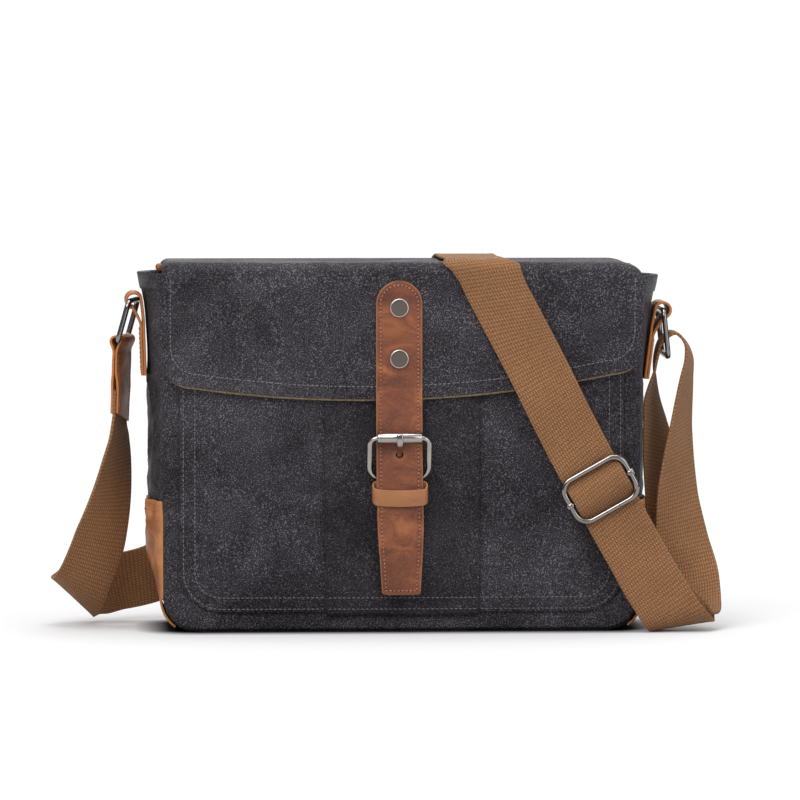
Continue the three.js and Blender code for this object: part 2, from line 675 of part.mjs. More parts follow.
// A point of the front run: s is how far below the slider's centre, out is in front of the middle,
// rise is the height of the cut's slant and shift how far right of the straight line.
function onRun(s, out, rise = ACROSS.z, shift = 0) {
  const point = new THREE.Vector3(SLIDER_AT[0] + shift, -out, SLIDER_AT[1]).addScaledVector(ALONG, s);
  return [point, new THREE.Vector3(ACROSS.x, 0, rise)];
}

function at(x, y, z, wx, wy, wz) {
  return [new THREE.Vector3(x, y, z), new THREE.Vector3(wx, wy, wz)];
}

// A point beside the bag (side -1 left, 1 right), out past the side by x.
function beside(side, x, y, z, wx, wy, wz) {
  return at(side * (BODY_W / 2 + x), y * (BODY_D / 95), z, wx, wy, wz);
}

// A point over the flap's top, where the webbing's underside is z above the flap's outer face.
function overTop(x, y, z) {
  return at(x, y, FLAP_TOP_Z + WEB_T / 2 + z, 1, 0, 0);
}

// The webbing's route: its middle and the direction of the cut across it, from the end sewn at the slider.
// Where it runs over the flap's edges at a slant, the cuts lie along those edges.
const rightPlaces = ringPlaces(1, RIGHT_BULGE, RIGHT_RING);
const [ringX, ringZ] = rightPlaces.low;
const endX = leftPlaces.low[0] + CONNECTOR_DROP[0];
const endZ = leftPlaces.low[1] + CONNECTOR_DROP[1];
const FRONT_OUT = 0.55 - RUN_Y; // where the webbing turns from the front to the top
const BACK_OUT = BODY_D / 2 + 5.55 + WEB_T / 2; // and behind the back panel
const RUN_TOP = (SLIDER_AT[1] - FLAP_TOP_Z + 10.5) / Math.cos(SLIDER_TILT); // just under the fold
const topX = onRun(RUN_TOP, RUN_Y, 0, 6.5)[0].x;
const WEB_ROUTE = [
  onRun(3, UNDER_Y), onRun(25, UNDER_Y), onRun(55, UNDER_Y), onRun(84, UNDER_Y + 4),
  beside(1, 25.5, -63, 14.5, 0.96, 0, 0.27), beside(1, 32, -52, 9.2, 0.985, 0, 0.15),
  beside(1, 38, -40, 16.5, 0.99, 0, 0.12), beside(1, 38.5, -27, 38, 1, 0.03, 0.05),
  beside(1, 33.5, -21, 66, 0.92, 0.4, 0), beside(1, 30.5, -17, 96, 0.75, 0.67, 0),
  beside(1, 31, -13, 118, 0.61, 0.79, 0), beside(1, 33.5, -8, 147, 0.43, 0.9, 0),
  at(ringX + 15.4, -3, ringZ - 17.5, 0.29, 0.96, 0), at(ringX + 17.4, -1, ringZ - 1.5, 0.2, 0.97, 0),
  at(ringX + 14.4, 0, ringZ + 10, 0.08, 1, 0), at(ringX + 5.9, 0, ringZ + 17, 0, 1, 0),
  at(ringX - 3.1, 0, ringZ + 10.5, 0.03, 1, 0), at(ringX - 6.9, 0, ringZ - 1.5, 0.04, 1, 0),
  at(ringX - 8.1, 0, ringZ - 11.5, 0.08, 0.99, 0), beside(1, 12.9, 1, 168, 0.32, 0.94, 0),
  beside(1, 15.3, 1, 150, 0.46, 0.89, 0), beside(1, 19.6, -3, 120, 0.66, 0.75, 0),
  beside(1, 25.4, -8, 90, 0.85, 0.52, 0), beside(1, 29.5, -14, 55, 0.97, 0.2, 0.03),
  beside(1, 34.5, -24, 24, 0.99, 0, 0.1), beside(1, 34, -38, 8.5, 0.99, 0, 0.12),
  beside(1, 32, -54, 4.6, 0.985, 0, 0.14), beside(1, 24.5, -68, 10, 0.96, 0, 0.27),
  onRun(84, RUN_Y + 5), onRun(50, RUN_Y), onRun(25, RUN_Y), onRun(14.2, RUN_Y - 0.1),
  onRun(5, OVER_BAR_Y - 0.3), onRun(0, OVER_BAR_Y), onRun(-5, OVER_BAR_Y - 0.3), onRun(-14.2, RUN_Y - 0.1),
  onRun(-25, RUN_Y), onRun(-60, RUN_Y, ACROSS.z, 1.3), onRun(-100, RUN_Y, 0.25, 3.7),
  onRun(-140, RUN_Y, 0, 5), onRun(-165, RUN_Y, 0, 5.8), onRun(RUN_TOP, RUN_Y, 0, 6.5),
  overTop(topX - 4.3, FRONT_OUT, -4.5), overTop(topX - 8.6, FRONT_OUT + 3.8, -0.2),
  overTop(topX - 10.6, FRONT_OUT + 10.8, 1), overTop(topX - 11.8, 0, 0.8),
  overTop(topX - 12.8, BACK_OUT - 10, 1.2), overTop(topX - 13.6, BACK_OUT - 2.5, -0.7),
  overTop(topX - 15.6, BACK_OUT, -7.5), overTop(topX - 25, BACK_OUT, -27.5),
  at(-8, BACK_OUT - 1, 190, 0.92, 0, -0.4), at(-66, BACK_OUT + 1, 124, 0.78, 0, -0.62),
  at(-124, BACK_OUT + 3, 70, 0.58, 0, -0.81), beside(-1, 4, BODY_D / 2 + 12, 36, 0.19, 0.1, -0.97),
  beside(-1, 37.5, 55, 28, 0.38, 0.2, -0.9), beside(-1, 57.5, 43, 24, 0.6, 0.2, -0.74),
  beside(-1, 65.5, 25, 21, 0.68, 0.2, -0.66), beside(-1, 60.5, 8, 27, 0.74, 0.42, -0.55),
  beside(-1, 46, -3, 64, 0.8, 0.48, -0.36), at(endX - 6, -5, endZ - 56, 0.64, 0.75, -0.15),
  at(endX - 0.5, -1, endZ - 17, 0.33, 0.94, -0.05), at(endX, 0, endZ - 1, 0, 1, 0),
  at(endX + 0.7, 0, endZ + 18, 0, 1, 0),
];

function addWebbing() {
  const middle = new THREE.CatmullRomCurve3(WEB_ROUTE.map((station) => station[0]), false, 'centripetal');
  const spans = WEB_ROUTE.length - 1;
  const places = [];
  for (let i = 0; i < spans; i++) {
    const [from, to] = [WEB_ROUTE[i], WEB_ROUTE[i + 1]];
    const parts = Math.max(1, Math.ceil(from[0].distanceTo(to[0]) / WEB_STEP));
    for (let k = 0; k < parts; k++) {
      places.push(i + k / parts);
    }
  }
  places.push(spans);
  const stations = places.map((place) => {
    const i = Math.min(spans - 1, Math.floor(place));
    const point = middle.getPoint(place / spans);
    const along = middle.getTangent(place / spans);
    const across = WEB_ROUTE[i][1].clone().lerp(WEB_ROUTE[i + 1][1], place - i).normalize();
    across.divideScalar(across.clone().addScaledVector(along, -along.dot(across)).length());
    return { point, across, through: along.clone().cross(across).normalize() };
  });
  const steps = stations.length - 1;
  add('strap_webbing', bent(steps, 1, (u, v, t) => {
    const { point, across, through } = stations[Math.round(u * steps)];
    return point.clone()
      .addScaledVector(across, (v - 0.5) * WEB_W)
      .addScaledVector(through, (t - 0.5) * WEB_T);
  }), webbing);
}

function addSlider() {
  const half = [SLIDER_L / 2 - SLIDER_WIRE_R, SLIDER_H / 2 - SLIDER_WIRE_R];
  const centre = new THREE.Vector3(SLIDER_AT[0], -SLIDER_Y, SLIDER_AT[1]);
  const corner = (a, b) => [
    centre.clone().addScaledVector(ACROSS, a * half[0]).addScaledVector(ALONG, b * half[1]), SLIDER_CORNER,
  ];
  const corners = [corner(-1, -1), corner(1, -1), corner(1, 1), corner(-1, 1)];
  add('slider_frame', wireLoop(corners, SLIDER_WIRE_R, 5), nickel);

  const bore = SLIDER_WIRE_R + GAP;
  const length = 2 * half[0] - bore - 0.4;
  let bar = solid(new THREE.CylinderGeometry(BAR_R, BAR_R, length, 14).rotateZ(Math.PI / 2));
  for (const end of [-1, 1]) {
    const collar = new THREE.CylinderGeometry(BAR_COLLAR_R, BAR_COLLAR_R, BAR_COLLAR_L, 20);
    bar = bar.add(solid(collar.translate(end * half[0], 0, 0)));
  }
  for (const end of [-1, 1]) {
    const hole = new THREE.CylinderGeometry(bore, bore, BAR_COLLAR_L + 2, 16);
    bar = bar.subtract(solid(hole.translate(end * half[0], 0, 0)));
  }
  const geometry = geometryOf(bar);
  geometry.rotateX(Math.PI / 2);
  geometry.rotateY(-SLIDER_TILT);
  geometry.translate(...centre.toArray());
  add('slider_bar', geometry, nickel);
}

addBody();
addSide('left', -1, LEFT_BULGE);
addSide('right', 1, RIGHT_BULGE);
addMouthTab();
addPocket();
addFlap();
addStrap();
addBuckle();
addKeeper();
addMagnets();
addRing('left', leftPlaces);
addRing('right', rightPlaces);
addConnector(leftPlaces);
addWebbing();
addSlider();

export default bag;
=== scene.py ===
"""Looks of the canvas messenger bag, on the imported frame. Lengths are in millimetres until a mesh is made."""
import math

import bmesh
import bpy
import numpy as np
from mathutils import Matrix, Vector


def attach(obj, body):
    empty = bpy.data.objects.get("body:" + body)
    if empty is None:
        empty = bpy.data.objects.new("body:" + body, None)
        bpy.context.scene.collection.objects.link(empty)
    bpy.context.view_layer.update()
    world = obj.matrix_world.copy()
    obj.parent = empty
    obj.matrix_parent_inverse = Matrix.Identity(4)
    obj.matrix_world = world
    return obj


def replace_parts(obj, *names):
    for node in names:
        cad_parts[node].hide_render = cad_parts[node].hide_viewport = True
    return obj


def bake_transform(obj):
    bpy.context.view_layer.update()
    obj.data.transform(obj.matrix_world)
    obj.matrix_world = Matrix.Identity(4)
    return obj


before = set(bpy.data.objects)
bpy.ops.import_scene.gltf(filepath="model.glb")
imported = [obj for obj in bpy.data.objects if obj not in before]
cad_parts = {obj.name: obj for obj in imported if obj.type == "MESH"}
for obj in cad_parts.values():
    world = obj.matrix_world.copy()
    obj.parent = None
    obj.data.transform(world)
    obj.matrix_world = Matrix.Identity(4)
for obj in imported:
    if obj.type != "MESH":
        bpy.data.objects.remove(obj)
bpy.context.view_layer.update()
scene = bpy.context.scene
MM = 0.001

# ---------------------------------------------------------------- sizes, the same as the frame's

BODY_W, FRONT_H, BACK_H, CORNER_R, PANEL_T = 349, 258, 265.5, 25, 2.4
STRIP = 44.8
LEFT_BULGE = [[0, 0], [25, 0], [62, 9.5], [170, 10.4], [206, 10.6], [240, 12.8], [262, 18]]
RIGHT_BULGE = [[0, 0], [25, 0], [62, 3.5], [183, 4], [238, 11.4], [262, 17]]
POCKET_W, POCKET_BOTTOM, POCKET_TOP, POCKET_R = 324, 14.6, 228, 30
PLEAT_W, PLEAT_BOTTOM, PLEAT_TOP = 111, 12.6, 226
FLAP_W, FLAP_FACE, FLAP_CORNER = 351, 61.9, 22
FLAP_LOW_Z, FLAP_LEFT_Z, FLAP_RIGHT_Z = 171.5, 181, 190.5
STRAP_X, STRAP_W, STRAP_TIP_W, STRAP_TOP_Z, STRAP_TIP_Z, STRAP_TAPER_Z = -2.9, 33.6, 28, 257, 28, 76
STRAP_BACK, STRAP_RAISED, STRAP_T = 62.2, 1.8, 2.6
RIVET_ZS, RIVET_R = (237.3, 200.2), 6.9
HEEL, ROLLER = (60.3, 113.0), (71.0, 142.8)
SLIDER_AT, SLIDER_TILT, SLIDER_L, SLIDER_H, SLIDER_Y = (143.7, 104.8), math.radians(29.3), 53.7, 37.7, 66.6
SLIDER_WIRE_R, SLIDER_BAR_R, SLIDER_CORNER = 2.2, 1.8, 9.5
RUN_Y, OVER_BAR_Y, UNDER_Y = 63.35, 69.65, 60.25
WEB_W, WEB_T = 43.5, 1.9
LEFT_RING = {"top": (-195.2, 241), "low": (-203.4, 211.5), "foot": (-187.7, 186.4)}
RIGHT_RING = {"top": (193.6, 233.4), "low": (197.1, 199.5), "foot": (181.4, 183)}
CONNECTOR_END = (-205.5, 155)
RING_TURN = 0.15  # how far the left ring is turned about the vertical

# ---------------------------------------------------------------- camera, light and floor


def aim(obj, target):
    obj.rotation_euler = (Vector(target) - obj.location).to_track_quat("-Z", "Y").to_euler()


def add_camera():
    """A long lens, 3 degrees to the left of the front and 3 degrees above it."""
    target, width, lens, sensor = np.array([-1.5, -47.5, 169.4]), 584, 300, 36
    turn, rise = math.radians(-3), math.radians(3)
    away = np.array([math.sin(turn) * math.cos(rise), -math.cos(turn) * math.cos(rise), math.sin(rise)])
    data = bpy.data.cameras.new("camera")
    data.lens = lens
    data.sensor_width = sensor
    data.clip_end = 80
    camera = bpy.data.objects.new("camera", data)
    scene.collection.objects.link(camera)
    camera.location = (target + away * width * lens / sensor) * MM
    aim(camera, target * MM)
    scene.camera = camera


def add_lamp(name, size, power, place, target):
    data = bpy.data.lights.new(name, "AREA")
    data.shape = "RECTANGLE"
    data.size, data.size_y = size
    data.energy = power
    lamp = bpy.data.objects.new(name, data)
    scene.collection.objects.link(lamp)
    lamp.location = place
    aim(lamp, target)


def node(tree, kind, inputs=None, **settings):
    made = tree.nodes.new(kind)
    for key, value in settings.items():
        setattr(made, key, value)
    for key, value in (inputs or {}).items():
        if isinstance(value, bpy.types.NodeSocket):
            tree.links.new(value, made.inputs[key])
        else:
            made.inputs[key].default_value = value
    return made


def add_world():
    """White to the camera, and a softer studio with a darker horizon for light and reflections."""
    world = bpy.data.worlds.new("studio")
    scene.world = world
    world.use_nodes = True
    tree = world.node_tree
    tree.nodes.clear()
    direction = node(tree, "ShaderNodeTexCoord").outputs["Generated"]
    height = node(tree, "ShaderNodeSeparateXYZ", {0: direction}).outputs["Z"]
    ramp = node(tree, "ShaderNodeValToRGB", {"Fac": node(
        tree, "ShaderNodeMapRange", {"Value": height, "From Min": -1.0, "From Max": 1.0}).outputs["Result"]})
    ramp.color_ramp.elements[0].color = (0.75, 0.75, 0.76, 1)
    ramp.color_ramp.elements[1].color = (0.95, 0.95, 0.97, 1)
    for place, grey in ((0.47, 0.45), (0.55, 0.16), (0.66, 0.3), (0.8, 0.95)):
        stop = ramp.color_ramp.elements.new(place)
        stop.color = (grey, grey, grey * 1.01, 1)
    studio = node(tree, "ShaderNodeBackground", {"Color": ramp.outputs["Color"], "Strength": 0.9})
    plain = node(tree, "ShaderNodeBackground", {"Color": (1, 1, 1, 1), "Strength": 1.05})
    seen = node(tree, "ShaderNodeLightPath").outputs["Is Camera Ray"]
    both = node(tree, "ShaderNodeMixShader", {0: seen, 1: studio.outputs[0], 2: plain.outputs[0]})
    output = node(tree, "ShaderNodeOutputWorld")
    tree.links.new(both.outputs[0], output.inputs["Surface"])


def add_floor():
    """A white sweep that burns out to plain white away from the bag. Right round the bag's footprint its colour
    is painted dark, as a painted contact shadow.
    """
    data = bpy.data.meshes.new("floor")
    data.from_pydata([(-6, -6, 0), (6, -6, 0), (6, 6, 0), (-6, 6, 0)], [], [(0, 1, 2, 3)])
    floor = bpy.data.objects.new("floor", data)
    scene.collection.objects.link(floor)
    material = bpy.data.materials.new("floor_white")
    material.use_nodes = True
    tree = material.node_tree
    tree.nodes.clear()
    place = node(tree, "ShaderNodeTexCoord").outputs["Object"]
    flat = node(tree, "ShaderNodeVectorMath", {0: place, 1: (0.62, 1.0, 0)}, operation="MULTIPLY")
    far = node(tree, "ShaderNodeVectorMath", {0: flat.outputs[0]}, operation="LENGTH")
    glow = node(tree, "ShaderNodeMapRange", {
        "Value": far.outputs["Value"], "From Min": 0.13, "From Max": 0.42, "To Min": 0.0, "To Max": 1.0})
    # Painted contact shadow: the floor colour is near black at the bag's edge and brightens over the next 2.5
    # cm.
    shape = node(tree, "ShaderNodeVectorMath", {0: place}, operation="ABSOLUTE").outputs[0]
    shape = node(tree, "ShaderNodeVectorMath", {0: shape, 1: (0.15, 0.03, 0)},
                 operation="SUBTRACT").outputs[0]
    shape = node(tree, "ShaderNodeVectorMath", {0: shape, 1: (0, 0, 0)}, operation="MAXIMUM").outputs[0]
    near = node(tree, "ShaderNodeVectorMath", {0: shape}, operation="LENGTH").outputs["Value"]
    tone = node(tree, "ShaderNodeMapRange", {
        "Value": near, "From Min": 0.02, "From Max": 0.045, "To Min": 0.02, "To Max": 0.62})
    grey = node(tree, "ShaderNodeCombineXYZ", {0: tone.outputs[0], 1: tone.outputs[0], 2: tone.outputs[0]})
    lit = node(tree, "ShaderNodeBsdfDiffuse", {"Color": grey.outputs[0]})
    own = node(tree, "ShaderNodeEmission", {"Color": (1, 1, 1, 1), "Strength": 1.05})
    both = node(tree, "ShaderNodeMixShader", {0: glow.outputs[0], 1: lit.outputs[0], 2: own.outputs[0]})
    output = node(tree, "ShaderNodeOutputMaterial")
    tree.links.new(both.outputs[0], output.inputs["Surface"])
    data.materials.append(material)


add_camera()
scene.view_settings.view_transform = "Standard"
add_world()
add_floor()
add_lamp("key", (1.6, 1.2), 34, (-0.9, -1.7, 1.7), (0, 0, 0.12))
add_lamp("fill", (1.4, 1.4), 14, (1.6, -1.5, 0.9), (0, 0, 0.12))
add_lamp("top", (1.4, 1.0), 20, (0.1, -0.1, 1.9), (0, 0, 0))
add_lamp("rear", (1.6, 1.0), 14, (0.3, 1.9, 1.3), (0, 0, 0.15))

# ---------------------------------------------------------------- materials


def linear(red, green, blue):
    """Linear colour from 0 to 255 display values."""
    return tuple(((value / 255 + 0.055) / 1.055) ** 2.4 if value > 10 else value / 3294
                 for value in (red, green, blue)) + (1,)


def surface(name, roughness, **sockets):
    material = bpy.data.materials.new(name)
    material.use_nodes = True
    tree = material.node_tree
    shader = tree.nodes["Principled BSDF"]
    shader.inputs["Roughness"].default_value = roughness
    for key, value in sockets.items():
        shader.inputs[key.replace("_", " ")].default_value = value
    return material, tree, shader


def rest(tree, stretch=(1, 1, 1)):
    """Where the point was at rest, in metres, so that patterns stay put on pieces that bend."""
    place = node(tree, "ShaderNodeAttribute", attribute_name="rest").outputs["Vector"]
    return node(tree, "ShaderNodeVectorMath", {0: place, 1: stretch}, operation="MULTIPLY").outputs[0]


def noise(tree, vector, scale, detail=2.0, roughness=0.5, distortion=0.0):
    return node(tree, "ShaderNodeTexNoise", {
        "Vector": vector, "Scale": scale, "Detail": detail, "Roughness": roughness, "Distortion": distortion,
    }).outputs["Fac"]


def scaled(tree, value, low, high, to_low=0.0, to_high=1.0):
    return node(tree, "ShaderNodeMapRange", {
        "Value": value, "From Min": low, "From Max": high, "To Min": to_low, "To Max": to_high,
    }).outputs["Result"]


def math_node(tree, operation, a, b=0.0):
    return node(tree, "ShaderNodeMath", {0: a, 1: b}, operation=operation).outputs[0]


def mixed(tree, share, a, b, blend="MIX"):
    made = tree.nodes.new("ShaderNodeMix")
    made.data_type = "RGBA"
    made.blend_type = blend
    for index, value in ((0, share), (6, a), (7, b)):
        if isinstance(value, bpy.types.NodeSocket):
            tree.links.new(value, made.inputs[index])
        else:
            made.inputs[index].default_value = value
    return made.outputs[2]


def bumped(tree, shader, height, distance, strength=1.0):
    made = node(tree, "ShaderNodeBump", {"Height": height, "Distance": distance, "Strength": strength})
    tree.links.new(made.outputs[0], shader.inputs["Normal"])


def waxed_canvas(name, dark, light, waxy, fleck=0.0009, shine=0.6):
    """Plain-woven cloth: fine threads both ways, pale heather flecks, and waxy rubbed places."""
    material, tree, shader = surface(name, shine, Sheen_Weight=0.015, Sheen_Roughness=0.5,
                                     Specular_IOR_Level=0.14)
    rows = noise(tree, rest(tree, (420, 420, 1900)), 1.0, 1.0)
    columns = noise(tree, rest(tree, (1900, 1900, 420)), 1.0, 1.0)
    threads = math_node(tree, "MULTIPLY", rows, columns)
    flecks = noise(tree, rest(tree), 1 / fleck, 1.0, 0.6)
    patches = noise(tree, rest(tree), 15, 5.0, 0.65, 0.7)
    rubbed = scaled(tree, patches, 0.36, 0.68)
    colour = mixed(tree, scaled(tree, threads, 0.17, 0.33), dark, light)
    share = math_node(tree, "MULTIPLY", scaled(tree, flecks, 0.54, 0.7, 0, 0.85),
                      scaled(tree, rubbed, 0, 1, 0.45, 1.0))
    colour = mixed(tree, share, colour, waxy)
    colour = mixed(tree, math_node(tree, "MULTIPLY", rubbed, 0.1), colour, waxy)
    ridge = math_node(tree, "ABSOLUTE", math_node(tree, "SUBTRACT",
                                                  noise(tree, rest(tree), 26, 3.0, 0.6, 1.6), 0.5))
    crease = math_node(tree, "MULTIPLY", scaled(tree, ridge, 0.0, 0.02, 1.0, 0.0), scaled(
        tree, noise(tree, rest(tree), 11, 2.0), 0.48, 0.68))
    colour = mixed(tree, math_node(tree, "MULTIPLY", crease, 0.1), colour, waxy)
    tree.links.new(colour, shader.inputs["Base Color"])
    soft = math_node(tree, "MULTIPLY", noise(tree, rest(tree), 60, 3.0, 0.6, 0.8), 0.8)
    height = math_node(tree, "ADD", math_node(tree, "MULTIPLY", threads, 0.9), soft)
    height = math_node(tree, "ADD", height, math_node(tree, "MULTIPLY", flecks, 0.35))
    bumped(tree, shader, height, 0.0006, 0.8)
    tree.links.new(scaled(tree, patches, 0.35, 0.7, shine + 0.12, shine - 0.06), shader.inputs["Roughness"])
    return material


def leather(name, dark, middle, light, edge, shine=0.48):
    """Oiled pull-up leather: mottled, scuffed, paler where it bends and along the cut edges."""
    material, tree, shader = surface(name, shine, Specular_IOR_Level=0.35, Coat_Weight=0.06,
                                     Coat_Roughness=0.35)
    clouds = noise(tree, rest(tree, (1, 1, 1.6)), 34, 5.0, 0.6, 0.9)
    colour = mixed(tree, scaled(tree, clouds, 0.3, 0.55), dark, middle)
    colour = mixed(tree, scaled(tree, clouds, 0.52, 0.75), colour, light)
    grain = noise(tree, rest(tree), 620, 3.0, 0.65)
    colour = mixed(tree, scaled(tree, grain, 0.45, 0.8, 0, 0.32), colour, light)
    scuffs = noise(tree, rest(tree, (60, 60, 420)), 1.0, 3.0, 0.6, 0.4)
    colour = mixed(tree, scaled(tree, scuffs, 0.6, 0.78, 0, 0.3), colour, light)
    worn = node(tree, "ShaderNodeAttribute", attribute_name="wear").outputs["Fac"]
    colour = mixed(tree, worn, colour, edge)
    tree.links.new(colour, shader.inputs["Base Color"])
    cells = node(tree, "ShaderNodeTexVoronoi", {"Vector": rest(tree), "Scale": 900.0}).outputs["Distance"]
    height = math_node(tree, "ADD", math_node(tree, "MULTIPLY", cells, 0.5), grain)
    height = math_node(tree, "ADD", height, math_node(tree, "MULTIPLY", clouds, 1.2))
    bumped(tree, shader, height, 0.00035, 0.6)
    tree.links.new(scaled(tree, clouds, 0.3, 0.7, shine + 0.08, shine - 0.08), shader.inputs["Roughness"])
    return material


def woven_webbing(name, dark, middle, light):
    """Thick cotton webbing: a slanted basket of round yarns, with a plain edge. Its colour follows the yarn
    relief, with painted shade in the gaps and painted light on the crowns. The UV map is in mm.
    """
    material, tree, shader = surface(name, 0.82, Sheen_Weight=0.05, Sheen_Roughness=0.5,
                                     Specular_IOR_Level=0.2)
    place = node(tree, "ShaderNodeUVMap", uv_map="UVMap").outputs[0]
    wobble = node(tree, "ShaderNodeTexNoise", {"Vector": rest(tree), "Scale": 260.0,
                                               "Detail": 1.0}).outputs["Color"]
    shift = node(tree, "ShaderNodeVectorMath", {0: wobble, 1: (0.9, 0.9, 0)}, operation="MULTIPLY").outputs[0]
    place = node(tree, "ShaderNodeVectorMath", {0: place, 1: shift}, operation="ADD").outputs[0]
    split = node(tree, "ShaderNodeSeparateXYZ", {0: place})
    column = math_node(tree, "MULTIPLY", split.outputs["X"], 1 / 1.9)
    odd = math_node(tree, "MODULO", math_node(tree, "FLOOR", column), 2.0)
    slant = math_node(tree, "MULTIPLY", split.outputs["X"], 0.2)
    row = math_node(tree, "ADD", math_node(tree, "MULTIPLY", split.outputs["Y"], 1 / 2.9), slant)
    row = math_node(tree, "ADD", row, math_node(tree, "MULTIPLY", odd, 0.5))
    across = math_node(tree, "ABSOLUTE", math_node(tree, "SINE",
                                                   math_node(tree, "MULTIPLY", column, math.pi)))
    along = math_node(tree, "ABSOLUTE", math_node(tree, "SINE", math_node(tree, "MULTIPLY", row, math.pi)))
    yarns = math_node(tree, "POWER", math_node(tree, "MULTIPLY", across, along), 0.55)
    fibres = noise(tree, rest(tree), 1300, 2.0, 0.6)
    # Painted shade and light: the yarn relief darkens the colour in the gaps between yarns and lightens it on
    # their crowns. The fibre noise is the webbing's own mottling.
    tone = math_node(tree, "ADD", math_node(tree, "MULTIPLY", yarns, 0.5),
                     math_node(tree, "MULTIPLY", fibres, 0.7))
    colour = mixed(tree, scaled(tree, tone, 0.1, 0.55), dark, middle)
    colour = mixed(tree, scaled(tree, tone, 0.58, 1.02), colour, light)
    drift = noise(tree, rest(tree), 21, 3.0, 0.5)
    colour = mixed(tree, scaled(tree, drift, 0.3, 0.7, 0.0, 0.22), colour, dark)
    tree.links.new(colour, shader.inputs["Base Color"])
    bumped(tree, shader, tone, 0.0007, 0.85)
    return material


def plated(name, colour, roughness, spread=0.08):
    """Plated zinc or steel with faint handling marks."""
    material, tree, shader = surface(name, roughness, Metallic=1.0)
    marks = noise(tree, rest(tree), 480, 4.0, 0.7)
    clouds = noise(tree, rest(tree), 70, 2.0)
    tone = mixed(tree, scaled(tree, clouds, 0.3, 0.7), colour,
                 tuple(value * 0.86 for value in colour[:3]) + (1,))
    tree.links.new(tone, shader.inputs["Base Color"])
    tree.links.new(scaled(tree, marks, 0.3, 0.75, roughness - spread, roughness + spread),
                   shader.inputs["Roughness"])
    bumped(tree, shader, marks, 0.00003, 0.4)
    return material


def thread(name, colour, shade):
    material, tree, shader = surface(name, 0.6, Sheen_Weight=0.1, Specular_IOR_Level=0.3)
    twist = noise(tree, rest(tree), 1500, 2.0)
    tree.links.new(mixed(tree, scaled(tree, twist, 0.35, 0.65), colour, shade), shader.inputs["Base Color"])
    bumped(tree, shader, twist, 0.0002, 0.6)
    return material


CANVAS = waxed_canvas("canvas", linear(9, 8, 10), linear(33, 31, 36), linear(124, 118, 126))
# The pleat's canvas is the same cloth in darker colours. This is painted shade, where the strap shadows the
# pleat.
PLEAT_SHADED_CANVAS = waxed_canvas("pleat_shaded_canvas", linear(7, 6, 8), linear(26, 24, 28), linear(104, 99, 106))
# The gussets' canvas is the same cloth in lighter colours, painted light on the sides of the bag. Its flecks
# and shine differ too.
SIDE_LIT_CANVAS = waxed_canvas("side_lit_canvas", linear(16, 16, 18), linear(44, 42, 46), linear(118, 114, 120),
                           0.0012, 0.42)
LINING = waxed_canvas("lining", linear(104, 90, 66), linear(142, 124, 92), linear(176, 158, 122), 0.0008,
                      0.85)
STRAP_LEATHER = leather("strap_leather", linear(74, 38, 24), linear(114, 62, 40), linear(158, 98, 54),
                        linear(160, 104, 62))
TAN_LEATHER = leather("tan_leather", linear(124, 74, 44), linear(158, 102, 64), linear(188, 132, 88),
                      linear(178, 116, 62))
BAND_LEATHER = leather("band_leather", linear(116, 70, 42), linear(140, 90, 58), linear(156, 106, 70),
                       linear(170, 116, 74))
EDGE_LEATHER = leather("edge_leather", linear(112, 62, 34), linear(140, 82, 46), linear(166, 106, 62),
                       linear(178, 112, 60))
WEBBING = woven_webbing("webbing", linear(58, 34, 18), linear(122, 84, 54), linear(170, 126, 88))
NICKEL = plated("nickel", linear(168, 162, 156), 0.2)
SLIDER_METAL = plated("slider_metal", linear(140, 134, 130), 0.13, 0.05)
GUNMETAL = plated("gunmetal", linear(138, 134, 136), 0.17, 0.05)
RIVET_FACE = plated("rivet_face", linear(112, 104, 98), 0.42, 0.1)
RIM_METAL = plated("rim_metal", linear(206, 200, 194), 0.34)
GREY_THREAD = thread("grey_thread", linear(122, 116, 120), linear(62, 58, 64))
BROWN_THREAD = thread("brown_thread", linear(190, 130, 100), linear(112, 56, 44))
# Dark fill for the strap's stitch holes, as painted shade where the holes sink into the leather. It also
# colours the dark seams on the slider wire.
HOLE = thread("stitch_hole", linear(46, 22, 16), linear(30, 14, 10))
BOARD = plated("board", linear(90, 81, 72), 0.8, 0.05)
BOARD.node_tree.nodes["Principled BSDF"].inputs["Metallic"].default_value = 0.0

# ---------------------------------------------------------------- meshes


def build(name, points, faces, material, body=None, wear=None, uvs=None):
    """A smooth closed mesh from points in millimetres, with its rest places and wear kept as attributes."""
    data = bpy.data.meshes.new(name)
    data.from_pydata((np.asarray(points, float) * MM).tolist(), [], faces)
    data.validate()
    made = bpy.data.objects.new(name, data)
    scene.collection.objects.link(made)
    if uvs is not None:
        layer = data.uv_layers.new(name="UVMap")
        corner = np.empty(len(data.loops), int)
        data.loops.foreach_get("vertex_index", corner)
        layer.data.foreach_set("uv", np.asarray(uvs, np.float32)[corner].ravel())
    mesh = bmesh.new()
    mesh.from_mesh(data)
    bmesh.ops.recalc_face_normals(mesh, faces=mesh.faces)
    mesh.to_mesh(data)
    mesh.free()
    data.shade_smooth()
    data.set_sharp_from_angle(angle=math.radians(55))
    finish_attributes(made, wear)
    data.materials.append(material)
    if body:
        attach(made, body)
    return made


def finish_attributes(obj, wear=None):
    data = obj.data
    count = len(data.vertices)
    place = np.empty(count * 3, np.float32)
    data.vertices.foreach_get("co", place)
    kept = data.attributes.get("rest") or data.attributes.new("rest", "FLOAT_VECTOR", "POINT")
    kept.data.foreach_set("vector", place)
    worn = data.attributes.get("wear") or data.attributes.new("wear", "FLOAT", "POINT")
    worn.data.foreach_set("value", np.asarray(wear if wear is not None else np.zeros(count), np.float32))


def unit(vectors):
    return vectors / np.maximum(np.linalg.norm(vectors, axis=-1, keepdims=True), 1e-9)


def grid_normals(grid, wrap=False):
    if wrap:
        along = np.roll(grid, -1, axis=1) - np.roll(grid, 1, axis=1)
    else:
        along = np.gradient(grid, axis=1)
    return unit(np.cross(along, np.gradient(grid, axis=0)))


